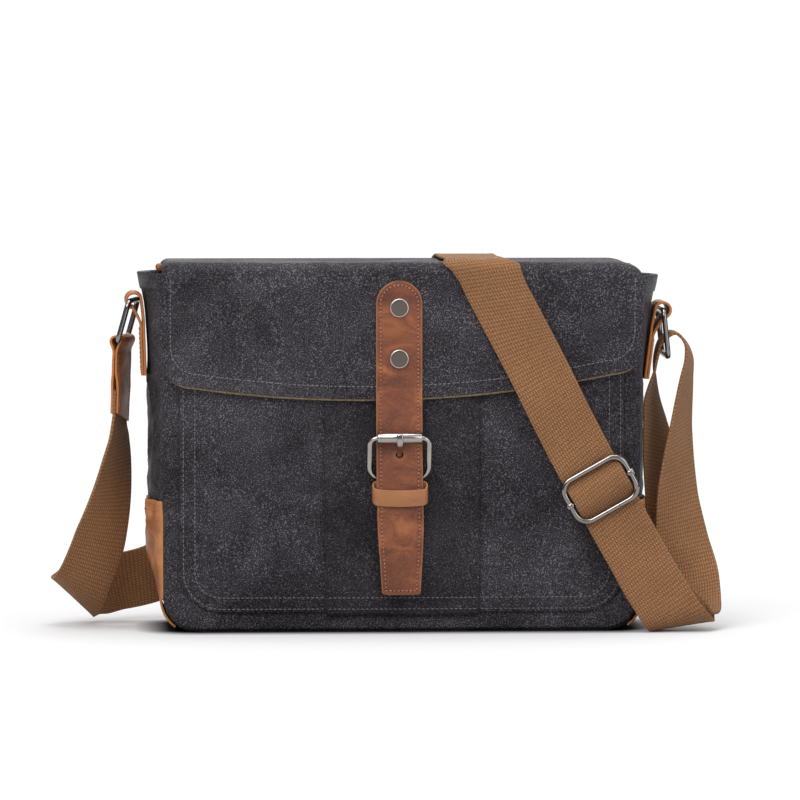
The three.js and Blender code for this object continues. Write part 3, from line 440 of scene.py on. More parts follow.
def cloth(name, grid, thick, material, body=None, towards=None, normals=None, rim=0.42, worn_rim=0.0,
          wrap=False):
    """A closed sheet whose outer face is grid (rows, columns, 3). Its other face is thick away from it.

    towards is a point on the far side, to tell which way thickness goes.
    wrap joins the last column to the first.
    """
    rows, columns = grid.shape[:2]
    out = grid_normals(grid, wrap) if normals is None else normals
    if towards is not None:
        middle = grid[rows // 2, columns // 2]
        if np.dot(out[rows // 2, columns // 2], np.asarray(towards, float) - middle) > 0:
            out = -out
    inner = grid - out * thick
    count = rows * columns
    points = [grid.reshape(-1, 3), inner.reshape(-1, 3)]
    spots = np.arange(count).reshape(rows, columns)
    if wrap:
        spots = np.concatenate([spots, spots[:, :1]], axis=1)
    a, b, c, d = spots[:-1, :-1], spots[1:, :-1], spots[1:, 1:], spots[:-1, 1:]
    quads = np.stack([a, b, c, d], axis=-1).reshape(-1, 4)
    faces = quads.tolist() + (quads[:, ::-1] + count).tolist()
    if wrap:
        loops = [(spots[0, :-1], grid[1] - grid[0]), (spots[-1, :-1], grid[-2] - grid[-1])]
    else:
        ring = np.concatenate([spots[0, :-1], spots[:-1, -1], spots[-1, :0:-1], spots[:0:-1, 0]])
        inwards = np.zeros_like(grid)
        inwards[0] += unit(grid[1] - grid[0])
        inwards[-1] += unit(grid[-2] - grid[-1])
        inwards[:, 0] += unit(grid[:, 1] - grid[:, 0])
        inwards[:, -1] += unit(grid[:, -2] - grid[:, -1])
        loops = [(ring, inwards.reshape(-1, 3)[ring])]
    wear = [np.zeros(2 * count)]
    start = 2 * count
    for ring, inward in loops:
        n = len(ring)
        flat, under = grid.reshape(-1, 3)[ring], inner.reshape(-1, 3)[ring]
        bulge = unit(inward) * -rim * thick
        points.append((flat + under) / 2 + bulge)
        wear.append(np.full(n, worn_rim))
        wear[0][ring] = worn_rim * 0.75
        wear[0][ring + count] = worn_rim * 0.75
        for i in range(n):
            j = (i + 1) % n
            faces.append([ring[i], ring[j], start + j, start + i])
            faces.append([start + i, start + j, ring[j] + count, ring[i] + count])
        start += n
    faces = [[int(k) for k in face] for face in faces]
    return build(name, np.concatenate(points), faces, material, body, np.concatenate(wear))


def sweep(name, centres, side, up, section, material, body=None, closed=False, wear=None, uvs=None):
    """A solid with the same closed section all along: section points are (towards side, towards up)."""
    centres, side, up = (np.asarray(part, float) for part in (centres, side, up))
    section = np.asarray(section, float)
    rings = centres[:, None] + section[None, :, :1] * side[:, None] + section[None, :, 1:] * up[:, None]
    n, k = rings.shape[:2]
    faces = []
    for i in range(n if closed else n - 1):
        following = (i + 1) % n
        for j in range(k):
            m = (j + 1) % k
            faces.append([i * k + j, following * k + j, following * k + m, i * k + m])
    if not closed:
        faces.append(list(range(k))[::-1])
        faces.append([(n - 1) * k + j for j in range(k)])
    worn = None if wear is None else np.tile(np.asarray(wear, float), n)
    return build(name, rings.reshape(-1, 3), faces, material, body, worn, uvs)


def rounded_section(half_width, half_height, radius, flat_steps=1, round_steps=3):
    """A rounded rectangle, counter-clockwise."""
    points = []
    for sx, sy, first in ((1, 1, 0), (-1, 1, 90), (-1, -1, 180), (1, -1, 270)):
        for i in range(round_steps + 1):
            turn = math.radians(first + 90 * i / round_steps)
            points.append((sx * (half_width - radius) + radius * math.cos(turn),
                           sy * (half_height - radius) + radius * math.sin(turn)))
        if sy == 1 and sx == 1 or sy == -1 and sx == -1:
            reach = sx * (half_width - radius)
            for i in range(1, flat_steps):
                points.append((reach * (1 - 2 * i / flat_steps), sy * half_height))
    return np.array(points)


def circle_section(radius, sides=16, flat=1.0):
    turns = np.arange(sides) * 2 * math.pi / sides
    return np.stack([np.cos(turns) * radius, np.sin(turns) * radius * flat], axis=1)


def rounded_loop(corners, cuts, steps=8, straight=3):
    """A closed line through corner points, with near-circular corners that start at the given cuts."""
    corners = [np.asarray(corner, float) for corner in corners]
    line = []
    n = len(corners)
    for i, corner in enumerate(corners):
        start = corner + unit(corners[i - 1] - corner) * cuts[i]
        end = corner + unit(corners[(i + 1) % n] - corner) * cuts[i]
        for k in range(steps + 1):
            t = k / steps
            a, b = start + (corner - start) * 0.5523, end + (corner - end) * 0.5523
            line.append((1 - t) ** 3 * start + 3 * t * (1 - t) ** 2 * a + 3 * t * t * (1 - t) * b
                        + t ** 3 * end)
        following = corners[(i + 1) % n] + unit(corner - corners[(i + 1) % n]) * cuts[(i + 1) % n]
        for k in range(1, straight):
            line.append(end + (following - end) * k / straight)
    return np.array(line)


def wire(name, line, normal, section, material, body):
    """A closed loop of wire in one plane."""
    tangent = unit(np.roll(line, -1, axis=0) - np.roll(line, 1, axis=0))
    normal = np.tile(unit(np.asarray(normal, float)), (len(line), 1))
    return sweep(name, line, np.cross(tangent, normal), normal, section, material, body, closed=True)


def smooth_line(points, steps=10):
    """A uniform Catmull-Rom line through the points."""
    points = np.asarray(points, float)
    padded = np.concatenate([2 * points[:1] - points[1:2], points, 2 * points[-1:] - points[-2:-1]])
    line = []
    for i in range(len(points) - 1):
        p0, p1, p2, p3 = padded[i:i + 4]
        for k in range(steps):
            t = k / steps
            line.append(0.5 * (2 * p1 + (p2 - p0) * t + (2 * p0 - 5 * p1 + 4 * p2 - p3) * t * t
                               + (3 * p1 - p0 - 3 * p2 + p3) * t ** 3))
    line.append(points[-1])
    return np.array(line)


def lathe(name, profile, centre, material, body, axis="y", sides=32):
    """A turned piece from (radius, how far along the axis) pairs."""
    points, faces = [], []
    for r, h in profile:
        for i in range(sides):
            turn = 2 * math.pi * i / sides
            a, b = r * math.cos(turn), r * math.sin(turn)
            local = (a, -h, b) if axis == "y" else (h, a, b)
            points.append([centre[k] + local[k] for k in range(3)])
    for row in range(len(profile) - 1):
        for i in range(sides):
            j = (i + 1) % sides
            faces.append([row * sides + i, row * sides + j, (row + 1) * sides + j, (row + 1) * sides + i])
    faces.append([i for i in range(sides)][::-1])
    faces.append([(len(profile) - 1) * sides + i for i in range(sides)])
    return build(name, points, faces, material, body)


def stitches(name, lines, material, body=None, pitch=3.3, length=2.5, radius=0.4, sink=0.05, phase=0.5):
    """Rows of short rounded stitches along lines of (points, outward normals)."""
    along = np.array([-1, -0.82, -0.35, 0.35, 0.82, 1]) * length / 2
    girth = np.array([0.25, 0.75, 1, 1, 0.75, 0.25]) * radius
    turns = np.arange(6) * math.pi / 3
    points, faces = [], []
    for line, normals in lines:
        line, normals = np.asarray(line, float), unit(np.asarray(normals, float))
        steps = np.linalg.norm(np.diff(line, axis=0), axis=1)
        reach = np.concatenate([[0], np.cumsum(steps)])
        count = max(1, int(reach[-1] / pitch))
        where = (np.arange(count) + phase) * reach[-1] / count
        place = np.stack([np.interp(where, reach, line[:, i]) for i in range(3)], axis=1)
        ahead = np.stack([np.interp(where + 0.4, reach, line[:, i]) for i in range(3)], axis=1)
        behind = np.stack([np.interp(where - 0.4, reach, line[:, i]) for i in range(3)], axis=1)
        up = unit(np.stack([np.interp(where, reach, normals[:, i]) for i in range(3)], axis=1))
        forward = unit(ahead - behind)
        sideways = unit(np.cross(forward, up))
        for p, f, s, u in zip(place - up * sink, forward, sideways, up):
            start = len(points)
            for a, r in zip(along, girth):
                for turn in turns:
                    points.append(p + f * a + s * r * math.cos(turn) + u * r * math.sin(turn))
            for i in range(5):
                for j in range(6):
                    m = (j + 1) % 6
                    faces.append([start + i * 6 + j, start + i * 6 + m, start + (i + 1) * 6 + m,
                                  start + (i + 1) * 6 + j])
            faces.append([start + j for j in range(6)][::-1])
            faces.append([start + 30 + j for j in range(6)])
    return build(name, points, faces, material, body)


def waves(a, b, size, seed, count=6):
    """Smooth random ripples from -1 to 1 or so, with no repeats in sight."""
    rng = np.random.default_rng(seed)
    total = 0
    for _ in range(count):
        turn, stretch, phase = rng.uniform(0, math.tau), rng.uniform(0.6, 1.5), rng.uniform(0, math.tau)
        total = total + np.sin(math.tau / size * stretch * (math.cos(turn) * a + math.sin(turn) * b) + phase)
    return total / math.sqrt(count)


def ease(value, low, high):
    t = np.clip((value - low) / (high - low), 0, 1)
    return t * t * (3 - 2 * t)


def between(pairs, height):
    heights, values = zip(*pairs)
    return np.interp(height, heights, values)


def soft_between(pairs, height, spread=9):
    """The same, with its corners eased."""
    return (between(pairs, height - spread) + 2 * between(pairs, height) + between(pairs,
                                                                                   height + spread)) / 4


def upright_rows(bottom, top, radius, corner_steps=12, spacing=3.5):
    turns = np.linspace(0, math.pi / 2, corner_steps)
    low = bottom + radius * (1 - np.cos(turns))
    high = np.linspace(bottom + radius, top, max(2, int((top - bottom - radius) / spacing)))[1:]
    return np.concatenate([low, high])


def half_width(rows, width, bottom, radius):
    """Half the width at each height of an upright piece with rounded bottom corners."""
    drop = np.clip(bottom + radius - rows, 0, radius)
    return width / 2 - radius + np.sqrt(radius ** 2 - drop ** 2)


def inside(x, z, width, bottom, radius):
    """How far inside the edge of such a piece a point lies."""
    a, b = np.abs(x) - (width / 2 - radius), bottom + radius - z
    return radius - np.hypot(np.maximum(a, 0), np.maximum(b, 0)) - np.minimum(np.maximum(a, b), 0)


def upright_grid(rows, halves, columns, face):
    share = np.linspace(-1, 1, columns)
    x = halves[:, None] * share[None]
    z = np.repeat(rows[:, None], columns, axis=1)
    return np.stack([x, face(x, z), z], axis=-1)


def front_line(xz, face):
    """Points and outward normals on a front face, y = face(x, z)."""
    xz = np.asarray(xz, float)
    x, z = xz[:, 0], xz[:, 1]
    dx = (face(x + 0.5, z) - face(x - 0.5, z))
    dz = (face(x, z + 0.5) - face(x, z - 0.5))
    return np.stack([x, face(x, z), z], axis=1), unit(np.stack([dx, -np.ones_like(x), dz], axis=1))


def u_path(half, bottom, radius, top, steps=16):
    """Down the left side, round, along the bottom, round and up the right side."""
    points = [(-half, z) for z in np.arange(top, bottom + radius, -2.0)]
    for i in range(steps + 1):
        turn = math.pi + math.pi / 2 * i / steps
        points.append((-half + radius + radius * math.cos(turn), bottom + radius + radius * math.sin(turn)))
    points += [(x, bottom) for x in np.arange(-half + radius + 2, half - radius, 2.0)]
    mirrored = [(-x, z) for x, z in points[:len(points)]][::-1]
    half_way = [point for point in points if point[0] <= 0]
    return half_way + [point for point in mirrored if point[0] > 0]


# ---------------------------------------------------------------- body


def panel_face(x, z):
    depth = inside(x, z, BODY_W, 0, CORNER_R)
    rolled = 2.6 * (1 - ease(depth, 0, 3.2)) ** 1.5
    puff = ease(depth, 2, 60)
    return -(47.5 + 0.6 * puff * waves(x, z, 95, 3)) + rolled


def add_body():
    rows = upright_rows(0, FRONT_H, CORNER_R)
    rows = np.sort(np.concatenate([rows, [1.2, 3.2]]))
    front = upright_grid(rows, half_width(rows, BODY_W, 0, CORNER_R), 110, panel_face)
    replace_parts(cloth("front_canvas", front, PANEL_T, CANVAS, "bag", towards=(0, 0, 120)), "front_panel")

    def back_face(x, z):
        depth = inside(x, z, BODY_W, 0, CORNER_R)
        return 47.5 - 1.6 * (1 - ease(depth, 0, 3.4)) + 0.9 * ease(depth, 2, 60) * waves(x, z, 110, 5)

    rows = upright_rows(0, BACK_H, CORNER_R)
    rows = np.sort(np.concatenate([rows, [1.2, 3.2]]))
    back = upright_grid(rows, half_width(rows, BODY_W, 0, CORNER_R), 90, back_face)
    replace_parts(cloth("back_canvas", back, PANEL_T, CANVAS, "bag", towards=(0, 0, 120)), "back_panel")

    edge = u_path(BODY_W / 2 - 5.5, 5.5, CORNER_R - 5.5, 262)
    line, normals = front_line(edge, back_face)
    stitches("back_stitches", [(line, -normals)], GREY_THREAD, "bag")

    across = np.linspace(-STRIP, STRIP, 34)
    for name, side, bulge, seed, mouth in (("left", -1, LEFT_BULGE, 21, 261),
                                           ("right", 1, RIGHT_BULGE, 31, 258.5)):
        grid = np.array([side_row(side, bulge, z, across, seed) for z in np.linspace(25.3, mouth, 96)])
        piece = cloth(f"{name}_gusset_canvas", grid, PANEL_T, SIDE_LIT_CANVAS, "bag", towards=(0, 0, 120))
        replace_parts(piece, f"{name}_gusset")
        lines = []
        for z in (mouth - 8.5, mouth - 3):
            row = side_row(side, bulge, z, np.linspace(-STRIP + 1, STRIP - 1, 50), seed)
            lines.append((row, np.tile([side, 0, 0.0], (50, 1))))
        stitches(f"{name}_hem_stitches", lines, GREY_THREAD, "bag", radius=0.45)
        hem = np.array([side_row(side, bulge, z, across, seed, 0.9) for z in np.linspace(mouth - 11,
                                                                                         mouth + 0.5, 8)])
        cloth(f"{name}_hem", hem, 1.0, SIDE_LIT_CANVAS, "bag", towards=(0, 0, 250))

    turns = np.linspace(-math.pi / 2, 0, 14)
    left = [(-BODY_W / 2 + CORNER_R + CORNER_R * math.sin(t),
             CORNER_R - CORNER_R * math.cos(t)) for t in turns]
    path = left + [(x, 0) for x in np.linspace(-145, 145, 60)] + [(-x, z) for x, z in left[::-1]]
    grid = np.array([[(x, y, z + 0.4) for y in across] for x, z in path])
    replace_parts(cloth("base_canvas", grid, PANEL_T, CANVAS, "bag", towards=(0, 0, 120)), "bottom_panel")


def side_row(side, bulge, z, across, seed, off=0.0):
    """One level of a side gusset: rounded out at mid depth, creased where the bag has been folded."""
    crown = 1 - (across / 47.5) ** 2
    groove = 2.6 * np.exp(-np.clip(47.5 - np.abs(across) - 2.7, 0, 20) / 2.2) * (1 - 0.7 * ease(z, 236, 256))
    x = BODY_W / 2 + soft_between(bulge, z) * crown + off - groove
    fade = np.clip(crown * 2.2, 0, 1) * ease(z, 30, 60) * (1 - ease(z, 176, 204))
    folds = np.abs(waves(across * 0.9 + z * 0.35, z * 0.8, 38, seed + 1))
    x = x + fade * (1.3 * waves(across, z * 0.8, 66, seed) + 1.2 - 2.6 * folds * (0.4 if side > 0 else 1))
    return np.stack([side * x, across, np.full_like(across, z)], axis=1)


def add_lining():
    """The khaki box inside, open at the top, and the stiffener under it."""
    half_x, half_y, corner = 171.2, 44.2, 6.0
    loop = []
    for sx, sy, first in ((1, 1, 0), (-1, 1, 90), (-1, -1, 180), (1, -1, 270)):
        for i in range(7):
            turn = math.radians(first + 15 * i)
            loop.append((sx * (half_x - corner) + corner * math.cos(turn),
                         sy * (half_y - corner) + corner * math.sin(turn)))
    dense = []
    for i, start in enumerate(loop):
        end = loop[(i + 1) % len(loop)]
        parts = max(1, int(math.dist(start, end) / 6))
        dense += [(start[0] + (end[0] - start[0]) * k / parts, start[1] + (end[1] - start[1]) * k / parts)
                  for k in range(parts)]
    loop = np.array(dense)
    rows = []
    for share in (0.02, 0.5, 0.9, 0.97):
        rows.append(np.column_stack([loop * share, np.full(len(loop), 6.0)]))
    for z in np.linspace(8, 254, 50):
        narrow = 1 - 0.16 * (1 - ease(z, 0, 26)) ** 2 * np.array([1, 0.25])
        ripple = 1.1 * ease(z, 20, 60) * (1 - ease(z, 240, 252)) * waves(loop[:, 0] + loop[:, 1],
                                                                         np.full(len(loop), z), 70, 9)
        ring = loop * narrow
        rows.append(np.column_stack([ring[:, 0], ring[:, 1] - np.sign(ring[:, 1]) * np.abs(ripple),
                                     np.full(len(loop), z)]))
    grid = np.array(rows)
    piece = cloth("lining_cloth", grid, 0.8, LINING, "bag", towards=(0, 0, 120), wrap=True, rim=0)
    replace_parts(piece, "lining")
    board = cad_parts["base_board"]
    board.data.materials.clear()
    board.data.materials.append(BOARD)


def add_patches():
    across = np.linspace(-STRIP, STRIP, 30)
    straight, wrapped = 95 - CORNER_R, math.radians(52) * CORNER_R
    for name, side, bulge, seed in (("left", -1, LEFT_BULGE, 21), ("right", 1, RIGHT_BULGE, 31)):
        off = 2.6

        def level(along):
            if along <= straight:
                return side_row(side, bulge, 95 - along, across, seed, off)
            turn = (along - straight) / CORNER_R
            x = BODY_W / 2 - CORNER_R + (CORNER_R + off) * math.cos(turn)
            z = CORNER_R - (CORNER_R + off) * math.sin(turn)
            return np.stack([np.full_like(across, side * x), across, np.full_like(across, z)], axis=1)

        grid = np.array([level(along) for along in np.linspace(0, straight + wrapped, 48)])
        piece = cloth(f"{name}_corner_leather", grid, 1.6, TAN_LEATHER, "bag", towards=(0, 0, 120),
                      worn_rim=0.8)
        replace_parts(piece, f"{name}_corner_patch")
        out = np.tile([side, 0, 0.0], (len(across), 1))
        lines = [(level(along), out) for along in (2.6, 6.6)]
        stitches(f"{name}_corner_stitches", lines, BROWN_THREAD, "bag", radius=0.42)


def add_mouth_tab():
    """A leather end tab at the left end of the mouth."""
    line = np.array([(-176.2, y, 265.2) for y in (-8, -7.4, 0, 7.4, 8)])
    ends = np.array([0.75, 1, 1, 1, 0.75])[:, None]
    piece = sweep("mouth_end_tab", line, np.tile([1.0, 0, 0], (5, 1)) * ends,
                  np.tile([0, 0, 1.0], (5, 1)) * ends,
                  circle_section(2.8, 16), EDGE_LEATHER, "bag")
    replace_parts(piece, "mouth_tab")


# ---------------------------------------------------------------- pocket


def pocket_face(x, z):
    depth = inside(x, z, POCKET_W, POCKET_BOTTOM, POCKET_R)
    swell = 1 - (1 - np.clip(depth / 34, 0, 1)) ** 2
    groove = np.exp(-((np.abs(x) - 57.5) / 2.2) ** 2) * ease(z, 24, 60)
    return -(49.6 + 5.0 * swell + 0.5 * swell * waves(x, z, 80, 12)) + 1.3 * groove


def pleat_face(x, z):
    depth = inside(x, z, POCKET_W, POCKET_BOTTOM - 2, POCKET_R)
    swell = 1 - (1 - np.clip(depth / 34, 0, 1)) ** 2
    fold = np.exp(-((np.abs(x) - 55.5) / 3.0) ** 2) * ease(z, 20, 70)
    return -(51.4 + 4.9 * swell + 0.5 * swell * waves(x, z, 80, 12) + 0.5 * fold)


def add_pocket():
    rows = upright_rows(POCKET_BOTTOM, POCKET_TOP, POCKET_R, 14, 3)
    grid = upright_grid(rows, half_width(rows, POCKET_W, POCKET_BOTTOM, POCKET_R), 150, pocket_face)
    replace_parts(cloth("pocket_canvas", grid, 1.8, CANVAS, "bag", towards=(0, 0, 120)), "front_pocket")
    rows = np.concatenate([np.linspace(PLEAT_BOTTOM, 30, 8), np.linspace(33, PLEAT_TOP, 62)])
    grid = upright_grid(rows, np.full(len(rows), PLEAT_W / 2), 46, pleat_face)
    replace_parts(cloth("pleat_cloth", grid, 1.7, PLEAT_SHADED_CANVAS, "bag", towards=(0, 0, 120)), "pocket_pleat")

    def outer_face(x, z):
        return np.where(np.abs(x) < PLEAT_W / 2, pleat_face(x, z), pocket_face(x, z))

    lines = []
    for inset in (2.2, 10.6):
        path = u_path(POCKET_W / 2 - inset, POCKET_BOTTOM + inset, POCKET_R - inset, 205)
        lines.append(front_line(path, outer_face))
    stitches("pocket_stitches", lines, GREY_THREAD, "bag", pitch=3.4, length=2.4, radius=0.38)


# ---------------------------------------------------------------- flap


def flap_columns():
    """Across the flap: x, and the height of the bottom edge there."""
    straight = FLAP_W / 2 - FLAP_CORNER
    x = np.linspace(-straight, straight, 96)
    rise = (FLAP_LEFT_Z + FLAP_RIGHT_Z) / 2 - 1 - FLAP_LOW_Z
    z = FLAP_LOW_Z + rise * (x / straight) ** 2 + (FLAP_RIGHT_Z - FLAP_LEFT_Z) / 2 * x / straight
    t = np.linspace(0, 1, 14)[1:]
    half = FLAP_W / 2
    corner_x = (1 - t) ** 2 * straight + 2 * t * (1 - t) * half + t * t * half
    left, right = (side - (1 - t) ** 2 + t * t * FLAP_CORNER for side in (FLAP_LEFT_Z, FLAP_RIGHT_Z))
    return np.concatenate([-corner_x[::-1], x, corner_x]), np.concatenate([left[::-1], z, right])


def flap_face(x, z):
    low = 1 - ease(z, 170, 250)
    sag = 0.5 * waves(x, z, 85, 41) + 0.7 * low * waves(x, z * 0.4, 60, 44)
    return -(FLAP_FACE - 0.3 + sag)


def flap_droop(x):
    """How much lower the top lies towards its two ends."""
    left = np.clip(-x - (FLAP_W / 2 - 7), 0, 7)
    right = np.clip(x - (FLAP_W / 2 - 19), 0, 19)
    return (7 - np.sqrt(49.001 - left ** 2)) * 0.86 + (19 - np.sqrt(361.001 - right ** 2)) * 0.62


def flap_grid(under, past_bottom, past_side, back_low):
    """From low on the back, over the top and down the front, at the depth under the outer face."""
    x, bottom = flap_columns()
    x = x * (1 + past_side / (FLAP_W / 2))
    bottom = bottom - past_bottom
    r = 7.5 - under
    rows = []
    for z in np.linspace(back_low, 262, 6):
        rows.append((np.full_like(x, 49.6 - under), np.full_like(x, z)))
    for turn in np.linspace(0, math.pi / 2, 9)[1:]:
        rows.append((np.full_like(x, 42.1 + (r - 0.0) * math.cos(turn)),
                     np.full_like(x, 262.9 + r * math.sin(turn))))
    for y in np.linspace(42, -54, 30)[1:]:
        crown = 0.5 * np.sin(math.pi * (42 - y) / 96)
        rows.append((np.full_like(x, y), 270.4 - under - crown + 0.25 * waves(x, np.full_like(x, y), 60, 47)))
    for turn in np.linspace(0, math.pi / 2, 10)[1:]:
        rows.append((np.full_like(x, -54.2 - r * math.sin(turn)),
                     np.full_like(x, 262.9 + r * math.cos(turn))))
    split = 6 + 8 + 15
    for share in np.linspace(0, 1, 46)[1:]:
        z = 262.9 + (bottom - 262.9) * share
        rows.append((flap_face(x, z) * ease(share, 0,
                                            0.12) + (-54.2 - 7.5) * (1 - ease(share, 0, 0.12)) + under, z))
    grid = np.array([np.stack([x, y, z], axis=1) for y, z in rows])
    grid[:, :, 2] -= flap_droop(grid[:, :, 0]) * ease(grid[:, :, 2], 225, 266)
    return grid, split


def add_flap():
    for name, under, past_bottom, past_side, thick, material, back_low in (
            ("canvas", 0.0, 0.0, 0.0, 1.9, CANVAS, 244), ("lining", 2.1, 1.7, -0.9, 0.8, LINING, 258)):
        grid, split = flap_grid(under, past_bottom, past_side, back_low)
        normals = grid_normals(grid)
        if normals[split, 50, 2] < 0:
            normals = -normals
        rear = cloth(f"flap_top_{name}_cloth", grid[:split + 1], thick, material, normals=normals[:split + 1],
                     rim=0)
        front = cloth(f"flap_front_{name}_cloth", grid[split:], thick, material, normals=normals[split:],
                      rim=0.2 if name == "canvas" else 0)
        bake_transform(rear)
        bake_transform(front)
        suffix = "_lining" if name == "lining" else ""
        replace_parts(rear, f"flap_top{suffix}")
        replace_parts(front, f"flap_front{suffix}")

    x, bottom = flap_columns()
    inset = 1 - 6.2 / (FLAP_W / 2)
    heights = np.arange(258, 218, -2.0)
    path = [(-FLAP_W / 2 * inset, z) for z in heights] + list(zip(x * inset, bottom + 8.8))
    path += [(FLAP_W / 2 * inset, z) for z in heights[::-1]]
    stitches("flap_stitches", [front_line(path, flap_face)], GREY_THREAD, "flap_front", length=2.4)


# ---------------------------------------------------------------- leather strap and buckle


def strap_back(z):
    risen = 1 - ease(z, 150, 178)
    settled = 1 - ease(z, STRAP_TIP_Z, 58)
    return STRAP_BACK + STRAP_RAISED * (risen - settled)


def strap_half(z):
    z = np.asarray(z, float)
    crown = STRAP_W / 2
    top = np.sqrt(np.maximum(0, crown ** 2 - np.maximum(0, crown - (STRAP_TOP_Z - z)) ** 2))
    taper = np.clip((STRAP_TAPER_Z - z) / (STRAP_TAPER_Z - STRAP_TIP_Z), 0, 1)
    width = (STRAP_W + (STRAP_TIP_W - STRAP_W) * taper) / 2
    tip = 3 - np.sqrt(np.maximum(0, 9 - np.maximum(0, 3 - (z - STRAP_TIP_Z)) ** 2))
    return np.minimum(top, width - tip)


def strap_lean(z):
    """The strap's middle: it hangs a little to the right towards its tip."""
    return STRAP_X + 1.5 * (1 - ease(z, 28, 150))


def strap_face(x, z):
    edge = strap_half(z) - np.abs(x - strap_lean(z))
    rolled = 0.9 * (1 - np.clip(edge / 2.2, 0, 1)) ** 2
    seam = 0.28 * np.exp(-((edge - 3.6) / 0.9) ** 2)
    return -(strap_back(z) + STRAP_T + 0.15 * waves(x, z, 30, 61)) + rolled + seam


def cut(obj, cutter):
    """Cuts one closed mesh out of another, and removes the cutter."""
    modifier = obj.modifiers.new("cut", "BOOLEAN")
    modifier.operation = "DIFFERENCE"
    modifier.solver = "EXACT"
    modifier.object = cutter
    bpy.context.view_layer.update()
    done = bpy.data.meshes.new_from_object(obj.evaluated_get(bpy.context.evaluated_depsgraph_get()))
    obj.modifiers.clear()
    obj.data = done
    data = cutter.data
    bpy.data.objects.remove(cutter)
    bpy.data.meshes.remove(data)


def add_strap():
    turns = np.linspace(0, math.pi / 2, 12)[1:]
    rows = np.concatenate([[28, 28.3, 28.9, 29.8, 31], np.arange(33, 240, 1.6),
                           STRAP_TOP_Z - STRAP_W / 2 * (1 - np.sin(turns))])
    halves = strap_half(rows)
    halves[-1] = 1.2
    share = np.sin(np.linspace(-math.pi / 2, math.pi / 2, 27))
    x = halves[:, None] * share[None] + strap_lean(rows)[:, None]
    z = np.repeat(rows[:, None], len(share), axis=1)
    grid = np.stack([x, strap_face(x, z), z], axis=-1)
    strap = cloth("strap_leather_piece", grid, STRAP_T - 0.3, STRAP_LEATHER, towards=(0, 0, 120), rim=0.1,
                  worn_rim=0.85)
    hole = lathe("hole", [(2.7, 55), (2.7, 80)], (strap_lean(128), 0, 130.4), HOLE, None)
    cut(strap, hole)
    worn = np.array([v.co for v in strap.data.vertices]) / MM
    edge = strap_half(worn[:, 2]) - np.abs(worn[:, 0] - strap_lean(worn[:, 2]))
    ring = np.hypot(worn[:, 0] - strap_lean(128), worn[:, 2] - 130.4)
    wear = np.maximum(0.85 * np.clip(1 - edge / 1.1, 0, 1), 0.5 * np.clip(1 - (ring - 2.7) / 3.5, 0, 1))
    finish_attributes(strap, wear)
    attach(strap, "flap_front")
    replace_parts(strap, "flap_strap")

    inset = 3.1
    heights = np.concatenate([np.arange(STRAP_TIP_Z + inset, 240, 1.5),
                              STRAP_TOP_Z - inset - (STRAP_W / 2 - inset) * (
        1 - np.sin(np.linspace(0, math.pi / 2, 10)[1:]))])
    above = STRAP_TOP_Z - heights - inset
    crown = STRAP_W / 2 - inset
    arc = np.sqrt(np.maximum(0, crown ** 2 - np.maximum(0, crown - above) ** 2))
    half = np.minimum(arc, strap_half(np.maximum(heights, 31)) - inset)
    right = list(zip(half + strap_lean(heights), heights))
    left = [(2 * strap_lean(h) - px, h) for (px, h) in right][::-1]
    tip = [(px, heights[0]) for px in np.linspace(left[-1][0], right[0][0], 12)[1:-1]]
    path = right + left[1:] + tip + right[:1]
    line = front_line(path, strap_face)
    stitches("strap_stitches", [line], BROWN_THREAD, "flap_front", pitch=2.9, length=2.0, radius=0.44,
             sink=0.0)
    # Dark beads between the stitches: painted shade in the stitch holes.
    stitches("strap_stitch_hole_shade", [line], HOLE, "flap_front", pitch=2.9, length=1.1, radius=0.6, sink=0.25,
             phase=0.0)

    for name, z in zip(("upper", "lower"), RIVET_ZS):
        face = STRAP_BACK + STRAP_T
        rim = [(2.0, face - 6.6), (4.5, face - 6.6), (4.5, face - 6.0), (2.0, face - 5.9), (2.0, face - 0.6),
               (RIVET_R - 0.6, face - 0.2), (RIVET_R, face + 0.5), (RIVET_R - 0.1, face + 1.2),
               (RIVET_R - 0.4, face + 1.65),
               (RIVET_R - 0.8, face + 1.7), (RIVET_R - 1.1, face + 0.9)]
        piece = lathe(f"rivet_{name}_body", rim, (STRAP_X, 0, z), RIM_METAL, "flap_front", sides=40)
        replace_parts(piece, f"rivet_{name}")
        disc = [(RIVET_R - 1.05, face + 0.7), (RIVET_R - 1.15, face + 1.3), (2.5, face + 1.42),
                (0.3, face + 1.45)]
        lathe(f"rivet_{name}_disc", disc, (STRAP_X, 0, z), RIVET_FACE, "flap_front", sides=40)


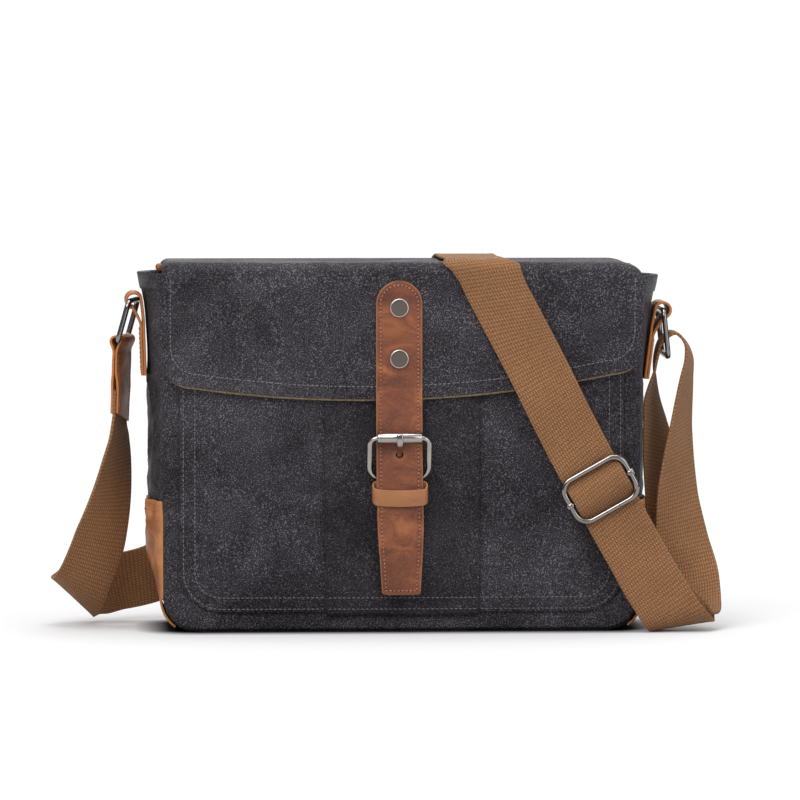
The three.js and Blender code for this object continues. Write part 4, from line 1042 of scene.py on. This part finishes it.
def add_buckle():
    side = 47 / 2 - 1.8
    heel, roller = (np.array([STRAP_X, -y, z]) for y, z in (HEEL, ROLLER))
    x = np.array([side, 0, 0])
    line = rounded_loop([heel - x, heel + x, roller + x, roller - x], [9, 9, 5.5, 5.5], 8, 10)
    normal = np.cross([1, 0, 0], roller - heel)
    tangent = unit(np.roll(line, -1, axis=0) - np.roll(line, 1, axis=0))
    flat_normal = np.tile(unit(normal), (len(line), 1))
    upright = np.abs(tangent[:, :1]) < 0.5
    out = np.cross(tangent, flat_normal) * np.where(upright, 1.12, 0.95)
    frame_piece = sweep("buckle_frame_metal", line, out, flat_normal, circle_section(1.8, 16), NICKEL,
                        "flap_front",
                        closed=True)
    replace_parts(frame_piece, "buckle_frame")

    half = 16.5
    profile = [(2.1, -half + 0.3), (3.2, -half), (3.8, -half + 0.15), (4.1, -half + 0.6), (4.1, half - 0.6),
               (3.8, half - 0.15), (3.2, half), (2.1, half - 0.3)]
    piece = lathe("roller_metal", profile, roller, NICKEL, "roller", axis="x", sides=40)
    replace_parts(piece, "buckle_roller")

    tip = ROLLER[0] + 4.1 + 0.3
    points = [(-HEEL[0] - 1.6, 115.8), (-62.2, 121), (-63.2, 127), (-67.4, 132), (-tip + 0.2, 137.8),
              (-tip - 1.25, 141.0), (-tip - 1.2, 144.4), (-tip - 0.6, 146.2)]
    path = smooth_line([(STRAP_X, *point) for point in points], 6)
    tangent = unit(np.gradient(path, axis=0))
    sideways = np.tile([1.0, 0, 0], (len(path), 1))
    fade = np.ones((len(path), 1))
    fade[-5:, 0] = (0.98, 0.93, 0.85, 0.68, 0.35)
    rise = ease(path[:, 2:], 128, 138)
    width = (0.82 + 0.2 * rise) * fade
    piece = sweep("prong_metal", path, sideways * width, np.cross(tangent, sideways) * fade,
                  rounded_section(2.3, 1.2, 1.1, 1, 4), NICKEL, "prong")
    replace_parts(piece, "buckle_prong")
    lathe("prong_eye", [(2.1, -2.2), (3.4, -2.2), (3.4, 2.2), (2.1, 2.2)], heel, NICKEL, "prong",
          axis="x", sides=24)

    turns = np.radians(np.linspace(180, 0, 12))
    points = [(-63.0, 58), (-63.0, 80), (-63.0, 100), (-63.0, 111)]
    points += [(-HEEL[0] + 2.75 * math.cos(turn), HEEL[1] + 2.75 * math.sin(turn)) for turn in turns]
    points += [(-57.6, 110.5), (-58.2, 103)]
    path = smooth_line([(STRAP_X, *point) for point in points], 3)
    tangent = unit(np.gradient(path, axis=0))
    sideways = np.tile([1.0, 0, 0], (len(path), 1))
    piece = sweep("buckle_tab_leather", path, sideways, np.cross(tangent, sideways),
                  rounded_section(15, 0.65, 0.5, 6, 3),
                  STRAP_LEATHER, "flap_front")
    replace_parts(piece, "buckle_tab")


def add_keeper():
    """A band bent round the strap, a little fuller in the middle of its front."""
    line = rounded_loop([(-19.7, -61.3, 0), (19.7, -61.3, 0), (19.7, -67.7, 0), (-19.7, -67.7, 0)],
                        [3.1] * 4, 6, 12)
    line[:, 1] -= 1.4 * (line[:, 1] < -65) * np.clip(1 - (line[:, 0] / 20) ** 2, 0, 1)
    line[:, 2] += 99.6 + 0.85 * (line[:, 1] + 68)
    line[:, 0] += strap_lean(98)
    tangent = unit(np.roll(line, -1, axis=0) - np.roll(line, 1, axis=0))
    up = np.tile([0, 0, 1.0], (len(line), 1))
    section = rounded_section(0.85, 6.0, 0.6, 1, 3)
    wear = 0.75 * np.clip((np.abs(section[:, 1]) - 5.0) / 1.0, 0, 1)
    piece = sweep("keeper_leather", line, np.cross(tangent, up), up, section, BAND_LEATHER, "keeper",
                  closed=True, wear=wear)
    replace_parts(piece, "keeper_loop")
    for name in ("magnet_stud", "magnet_socket"):
        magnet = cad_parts[name]
        magnet.data.materials.clear()
        magnet.data.materials.append(GUNMETAL)


# ---------------------------------------------------------------- rings, tabs and connector


def add_ring(name, side, places):
    top, low, foot = places["top"], places["low"], places["foot"]
    half = 54 / 2 - 2
    turned = RING_TURN * half * (side < 0)
    line = rounded_loop([(top[0] - turned, -half, top[1]), (top[0] + turned, half, top[1]),
                         (low[0] + turned, half, low[1]), (low[0] - turned, -half, low[1])], [5] * 4, 8, 8)
    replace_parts(wire(f"{name}_ring_metal", line, np.cross([RING_TURN * (side < 0), 1, 0],
                                                          [low[0] - top[0], 0, low[1] - top[1]]),
                     circle_section(2.0, 16), GUNMETAL, f"{name}_ring"), f"{name}_ring")

    r = 5.6
    start = 15 if side < 0 else 165
    turns = np.radians(start + (-side) * np.linspace(0, 250, 14))
    loop = [(top[0] + r * math.cos(t), 0, top[1] + 0.2 + r * math.sin(t)) for t in turns]
    lean = (top[0] - side * r - foot[0]) / (top[1] - foot[1])
    inner = [(foot[0] - side * 1.0 + lean * (z - foot[1]), 0, z) for z in np.linspace(foot[1], top[1] - 12,
                                                                                      7)]
    outer = [(foot[0] + side * 1.05 + lean * (z - foot[1]), 0, z) for z in np.linspace(top[1] - 17, foot[1],
                                                                                       6)]
    path = smooth_line(inner + loop + outer, 5)
    tangent = unit(np.gradient(path, axis=0))
    up = np.tile([0, 1.0, 0], (len(path), 1))
    section = rounded_section(1.0, 21, 0.7, 1, 3)
    wear = 0.8 * np.clip((np.abs(section[:, 1]) - 20.2) / 0.6, 0, 1)
    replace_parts(sweep(f"{name}_ring_leather", path, np.cross(up, tangent), up, section, EDGE_LEATHER, "bag",
                      wear=wear),
                f"{name}_ring_tab")
    rows = []
    for y in (-17.6, 17.6):
        rows.append([(foot[0] + side * 2.05 + lean * (z - foot[1]), y, z) for z in np.arange(foot[1] + 3,
                                                                                             top[1] - 20,
                                                                                             1.5)])
    rows.append([(foot[0] + side * 2.05 + lean * 3, y, foot[1] + 3) for y in np.linspace(-16, 16, 14)])
    lines = [(np.array(row), np.tile([side, 0, 0.0], (len(row), 1))) for row in rows]
    stitches(f"{name}_ring_stitches", lines, BROWN_THREAD, "bag", radius=0.42)


def add_connector():
    """Leather folded over the left ring's low bar, with the webbing's end sewn between its leaves."""
    (x, z), (end_x, end_z) = LEFT_RING["low"], CONNECTOR_END
    down = unit(np.array([end_x - x, 0, end_z - z]))
    out = np.array([down[2], 0, -down[0]])
    r = 3.5
    turns = np.radians(np.linspace(-28, 208, 13))
    loop = [np.array([x, 0, z]) + out * r * math.cos(t) - down * r * math.sin(t) for t in turns]
    length = math.dist((x, z), (end_x, end_z))

    def leaf(s):
        return 1.1 + 0.9 * ease(s, length - 34, length - 22)

    first = [np.array([x, 0, z]) + down * s + out * leaf(s) for s in np.linspace(length, 7, 9)]
    last = [np.array([x, 0, z]) + down * s - out * leaf(s) for s in np.linspace(7, length, 9)]
    path = smooth_line(first + loop + last, 4)
    tangent = unit(np.gradient(path, axis=0))
    across = []
    for point in path:
        across.append(connector_cut(point[2]))
    across = np.array(across)
    section = rounded_section(0.95, 21, 0.7, 1, 3)
    wear = 0.85 * np.clip((np.abs(section[:, 1]) - 20.2) / 0.6, 0, 1)
    piece = sweep("connector_leather", path, unit(np.cross(across, tangent)), across, section, EDGE_LEATHER,
                  "left_ring",
                  wear=wear)
    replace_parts(piece, "left_connector")
    lines = []
    for sign in (1, -1):
        middle = [np.array([x, 0, z]) + down * s + out * (leaf(s) + 1) * sign
                  for s in np.arange(9, length - 2.5, 1.5)]
        for edge in (-17.8, 17.8):
            row = np.array([point + connector_cut(point[2]) * edge for point in middle])
            lines.append((row, np.tile(out * sign, (len(row), 1))))
    stitches("connector_stitches", lines, BROWN_THREAD, "left_ring", radius=0.42)


def connector_cut(z):
    """The direction across the connector, which hangs a little turned and slanted towards its end."""
    return unit(np.array([0.21 + 0.06 * ease(z, 165, 195), 1.0, -0.2 * (1 - ease(z, 155, 205))]))


# ---------------------------------------------------------------- webbing and slider

ALONG = np.array([math.sin(SLIDER_TILT), 0, -math.cos(SLIDER_TILT)])
ACROSS = np.array([math.cos(SLIDER_TILT), 0, math.sin(SLIDER_TILT)])


def on_run(s, out, rise=math.sin(SLIDER_TILT), shift=0.0):
    """s is how far down the front run from the slider's centre, out how far in front of the middle."""
    point = np.array([SLIDER_AT[0] + shift, -out, SLIDER_AT[1]]) + ALONG * s
    return [*point, ACROSS[0], 0, rise]


def web_route():
    """Stations of the strap from its end sewn at the slider to its end in the left connector."""
    return np.array([
        on_run(3, UNDER_Y), on_run(25, UNDER_Y), on_run(55, UNDER_Y), on_run(84, UNDER_Y + 4),
        [200, -63, 14.5, .96, 0, .27], [206.5, -52, 9.2, .985, 0, .15], [212.5, -40, 16.5, .99, 0, .12],
        [213, -27, 38, 1, .03, .05], [208, -21, 66, .92, .4, 0], [205, -17, 96, .75, .67, 0],
        [205.5, -13, 118, .61, .79, 0], [208, -8, 147, .43, .9, 0], [212.5, -3, 182, .29, .96, 0],
        [214.5, -1, 198, .2, .97, 0], [211.5, 0, 209.5, .08, 1, 0], [203, 0, 216.5, 0, 1, 0],
        [194, 0, 210, .03, 1, 0], [190.2, 0, 198, .04, 1, 0], [189, 0, 188, .08, .99, 0],
        [187.4, 1, 168, .32, .94, 0], [189.8, 1, 150, .46, .89, 0], [194.1, -3, 120, .66, .75, 0],
        [199.9, -8, 90, .85, .52, 0], [204, -14, 55, .97, .2, .03], [209, -24, 24, .99, 0, .1],
        [208.5, -38, 8.5, .99, 0, .12], [206.5, -54, 4.6, .985, 0, .14], [199, -68, 10, .96, 0, .27],
        on_run(84, RUN_Y + 5), on_run(50, RUN_Y), on_run(25, RUN_Y), on_run(14.2, RUN_Y - .1),
        on_run(5, OVER_BAR_Y - .3), on_run(0, OVER_BAR_Y), on_run(-5, OVER_BAR_Y - .3),
        on_run(-14.2, RUN_Y - .1),
        on_run(-25, RUN_Y), on_run(-60, RUN_Y, ACROSS[2], 1.3), on_run(-100, RUN_Y, .25, 3.7),
        on_run(-140, RUN_Y, 0, 5), on_run(-165, RUN_Y, 0, 5.8), on_run(-178, RUN_Y, 0, 6.5),
        [58.8, -62.8, 267, 1, 0, 0], [54.5, -59, 271.2, 1, 0, 0], [52.5, -52, 272.4, 1, 0, 0],
        [51.3, 0, 272.2, 1, 0, 0], [50.3, 44, 272.4, 1, 0, 0], [49.5, 51.5, 270.5, 1, 0, 0],
        [47.5, 54, 264, 1, 0, 0], [38, 54, 244, 1, 0, 0], [-8, 53, 190, .92, 0, -.4],
        [-66, 55, 124, .78, 0, -.62], [-124, 57, 70, .58, 0, -.81], [-178.5, 59.5, 36, .19, .1, -.97],
        [-212, 55, 28, .38, .2, -.9], [-232, 43, 24, .6, .2, -.74], [-240, 25, 21, .68, .2, -.66],
        [-235, 8, 27, .74, .42, -.55], [-220.5, -3, 64, .8, .48, -.36], [-211.5, -5, 99, .64, .75, -.15],
        [-206, -1, 138, .33, .94, -.05], [CONNECTOR_END[0], 0, CONNECTOR_END[1] - 1, *connector_cut(155)],
        [CONNECTOR_END[0] + .7, 0, CONNECTOR_END[1] + 18, *connector_cut(173)],
    ], float)


def centripetal(points, place):
    """A point of the centripetal Catmull-Rom line through the points, at place spans from its start."""
    last = len(points) - 1
    i = min(int(place), last - 1)
    t = place - i
    p1, p2 = points[i], points[i + 1]
    p0 = points[i - 1] if i > 0 else 2 * points[0] - points[1]
    p3 = points[i + 2] if i + 2 <= last else 2 * points[-1] - points[-2]
    d0, d1, d2 = (max(np.linalg.norm(b - a) ** 0.5, 1e-4) for a, b in ((p0, p1), (p1, p2), (p2, p3)))
    t1 = ((p1 - p0) / d0 - (p2 - p0) / (d0 + d1) + (p2 - p1) / d1) * d1
    t2 = ((p2 - p1) / d1 - (p3 - p1) / (d1 + d2) + (p3 - p2) / d2) * d1
    return p1 + t1 * t + (3 * p2 - 3 * p1 - 2 * t1 - t2) * t * t + (2 * p1 - 2 * p2 + t1 + t2) * t ** 3


def web_stations(spacing=2.6):
    route = web_route()
    points, cuts = route[:, :3], route[:, 3:]
    places = []
    for i in range(len(points) - 1):
        parts = max(2, math.ceil(np.linalg.norm(points[i + 1] - points[i]) / spacing))
        places += [i + k / parts for k in range(parts)]
    places.append(len(points) - 1)
    middle = np.array([centripetal(points, place) for place in places])
    tangent = unit(np.gradient(middle, axis=0))
    cut = np.array([[np.interp(place, range(len(points)), cuts[:, k]) for k in range(3)] for place in places])
    for _ in range(2):
        cut[1:-1] = (cut[:-2] + 2 * cut[1:-1] + cut[2:]) / 4
    cut = unit(cut)
    square = cut - tangent * np.sum(cut * tangent, axis=1, keepdims=True)
    cut = cut / np.linalg.norm(square, axis=1, keepdims=True)
    through = unit(np.cross(tangent, cut))
    reach = np.concatenate([[0], np.cumsum(np.linalg.norm(np.diff(middle, axis=0), axis=1))])
    return np.array(places), middle, cut, through, reach


def add_webbing():
    """One ribbon, split where it passes from one moving body to the next."""
    places, middle, cut, through, reach = web_stations()
    section = rounded_section(WEB_W / 2, WEB_T / 2, 0.85, 10, 3)
    section[:, 1] *= 1 + 0.16 * (np.abs(section[:, 0]) > 17)
    spans = (
        ("right_end", 0, 3, None), ("right_low_outer", 3, 10,
                                    ("strap", "bag", (.200, -.050, .034), (.202, -.014, .117))),
        ("right_arch", 10, 20, ("bag", "right_ring", (.200, -.005, .152), (.200, 0, .192))),
        ("right_low_inner", 20, 28, ("bag", "strap", (.190, -.002, .149), (.200, -.050, .034))),
        ("front_run_low", 28, 31, None), ("slider_arch", 31, 35, "slider"), ("front_run", 35, 53, None),
        ("left_low", 53, 59, ("strap", "bag", (-.180, .056, .040), (-.213, -.004, .092))),
        ("left_high", 59, 62, ("bag", "left_ring", (-.212, -.006, .101), (-.2055, 0, .150))),
    )
    for name, first, last, bodies in spans:
        chosen = np.flatnonzero((places >= first - 1e-6) & (places <= last + 1e-6))
        uvs = np.stack([np.tile(section[:, 0] + WEB_W / 2, len(chosen)),
                        np.repeat(reach[chosen], len(section))], axis=1)
        piece = sweep(f"webbing_{name}", middle[chosen], cut[chosen], through[chosen], section, WEBBING,
                      uvs=uvs)
        if bodies is None:
            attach(piece, "strap")
        elif isinstance(bodies, str):
            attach(piece, bodies)
        else:
            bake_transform(piece)
        if name == "front_run":
            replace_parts(piece, "strap_webbing")


def add_slider():
    centre = np.array([SLIDER_AT[0], -SLIDER_Y, SLIDER_AT[1]])
    a, b = ACROSS * (SLIDER_L / 2 - 2), ALONG * (SLIDER_H / 2 - 2)
    line = rounded_loop([centre - a - b, centre + a - b, centre + a + b, centre - a + b], [SLIDER_CORNER] * 4,
                        12, 12)
    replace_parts(wire("slider_metal", line, [0, -1, 0], circle_section(SLIDER_WIRE_R, 18), SLIDER_METAL,
                     "slider"), "slider_frame")
    for sign in (-1, 1):
        point = centre + b + ACROSS * (5.2 * sign + 1.5)
        ring = [point - ACROSS * 0.18, point + ACROSS * 0.18]
        sweep(f"slider_seam_{'left' if sign < 0 else 'right'}", ring, [ALONG, ALONG], [[0, -1.0, 0]] * 2,
              circle_section(SLIDER_WIRE_R + 0.06, 18), HOLE, "slider")
    ends = [centre - ACROSS * 23, centre + ACROSS * 23]
    bar = sweep("slider_bar_metal", np.linspace(ends[0], ends[1], 8), np.tile(ALONG, (8, 1)),
                np.tile([0, -1.0, 0], (8, 1)), circle_section(SLIDER_BAR_R, 14), SLIDER_METAL, "slider_bar")
    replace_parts(bar, "slider_bar")
    for name, sign in (("left", -1), ("right", 1)):
        heart = centre + ACROSS * sign * (SLIDER_L / 2 - 2)
        hub = [heart - ACROSS * sign * 3.2, heart - ACROSS * sign * 2.4, heart + ACROSS * sign * 2.4,
               heart + ACROSS * sign * 3.2]
        widths = np.array([1.7, 2.75, 2.75, 1.7])[:, None]
        sweep(f"slider_hub_{name}", hub, np.tile(ALONG, (4, 1)) * widths,
              np.tile([0, -1.0, 0], (4, 1)) * widths,
              circle_section(1.0, 16), SLIDER_METAL, "slider_bar")


add_body()
add_lining()
add_patches()
add_mouth_tab()
add_pocket()
add_flap()
add_strap()
add_buckle()
add_keeper()
add_ring("left", -1, LEFT_RING)
add_ring("right", 1, RIGHT_RING)
add_connector()
add_webbing()
add_slider()
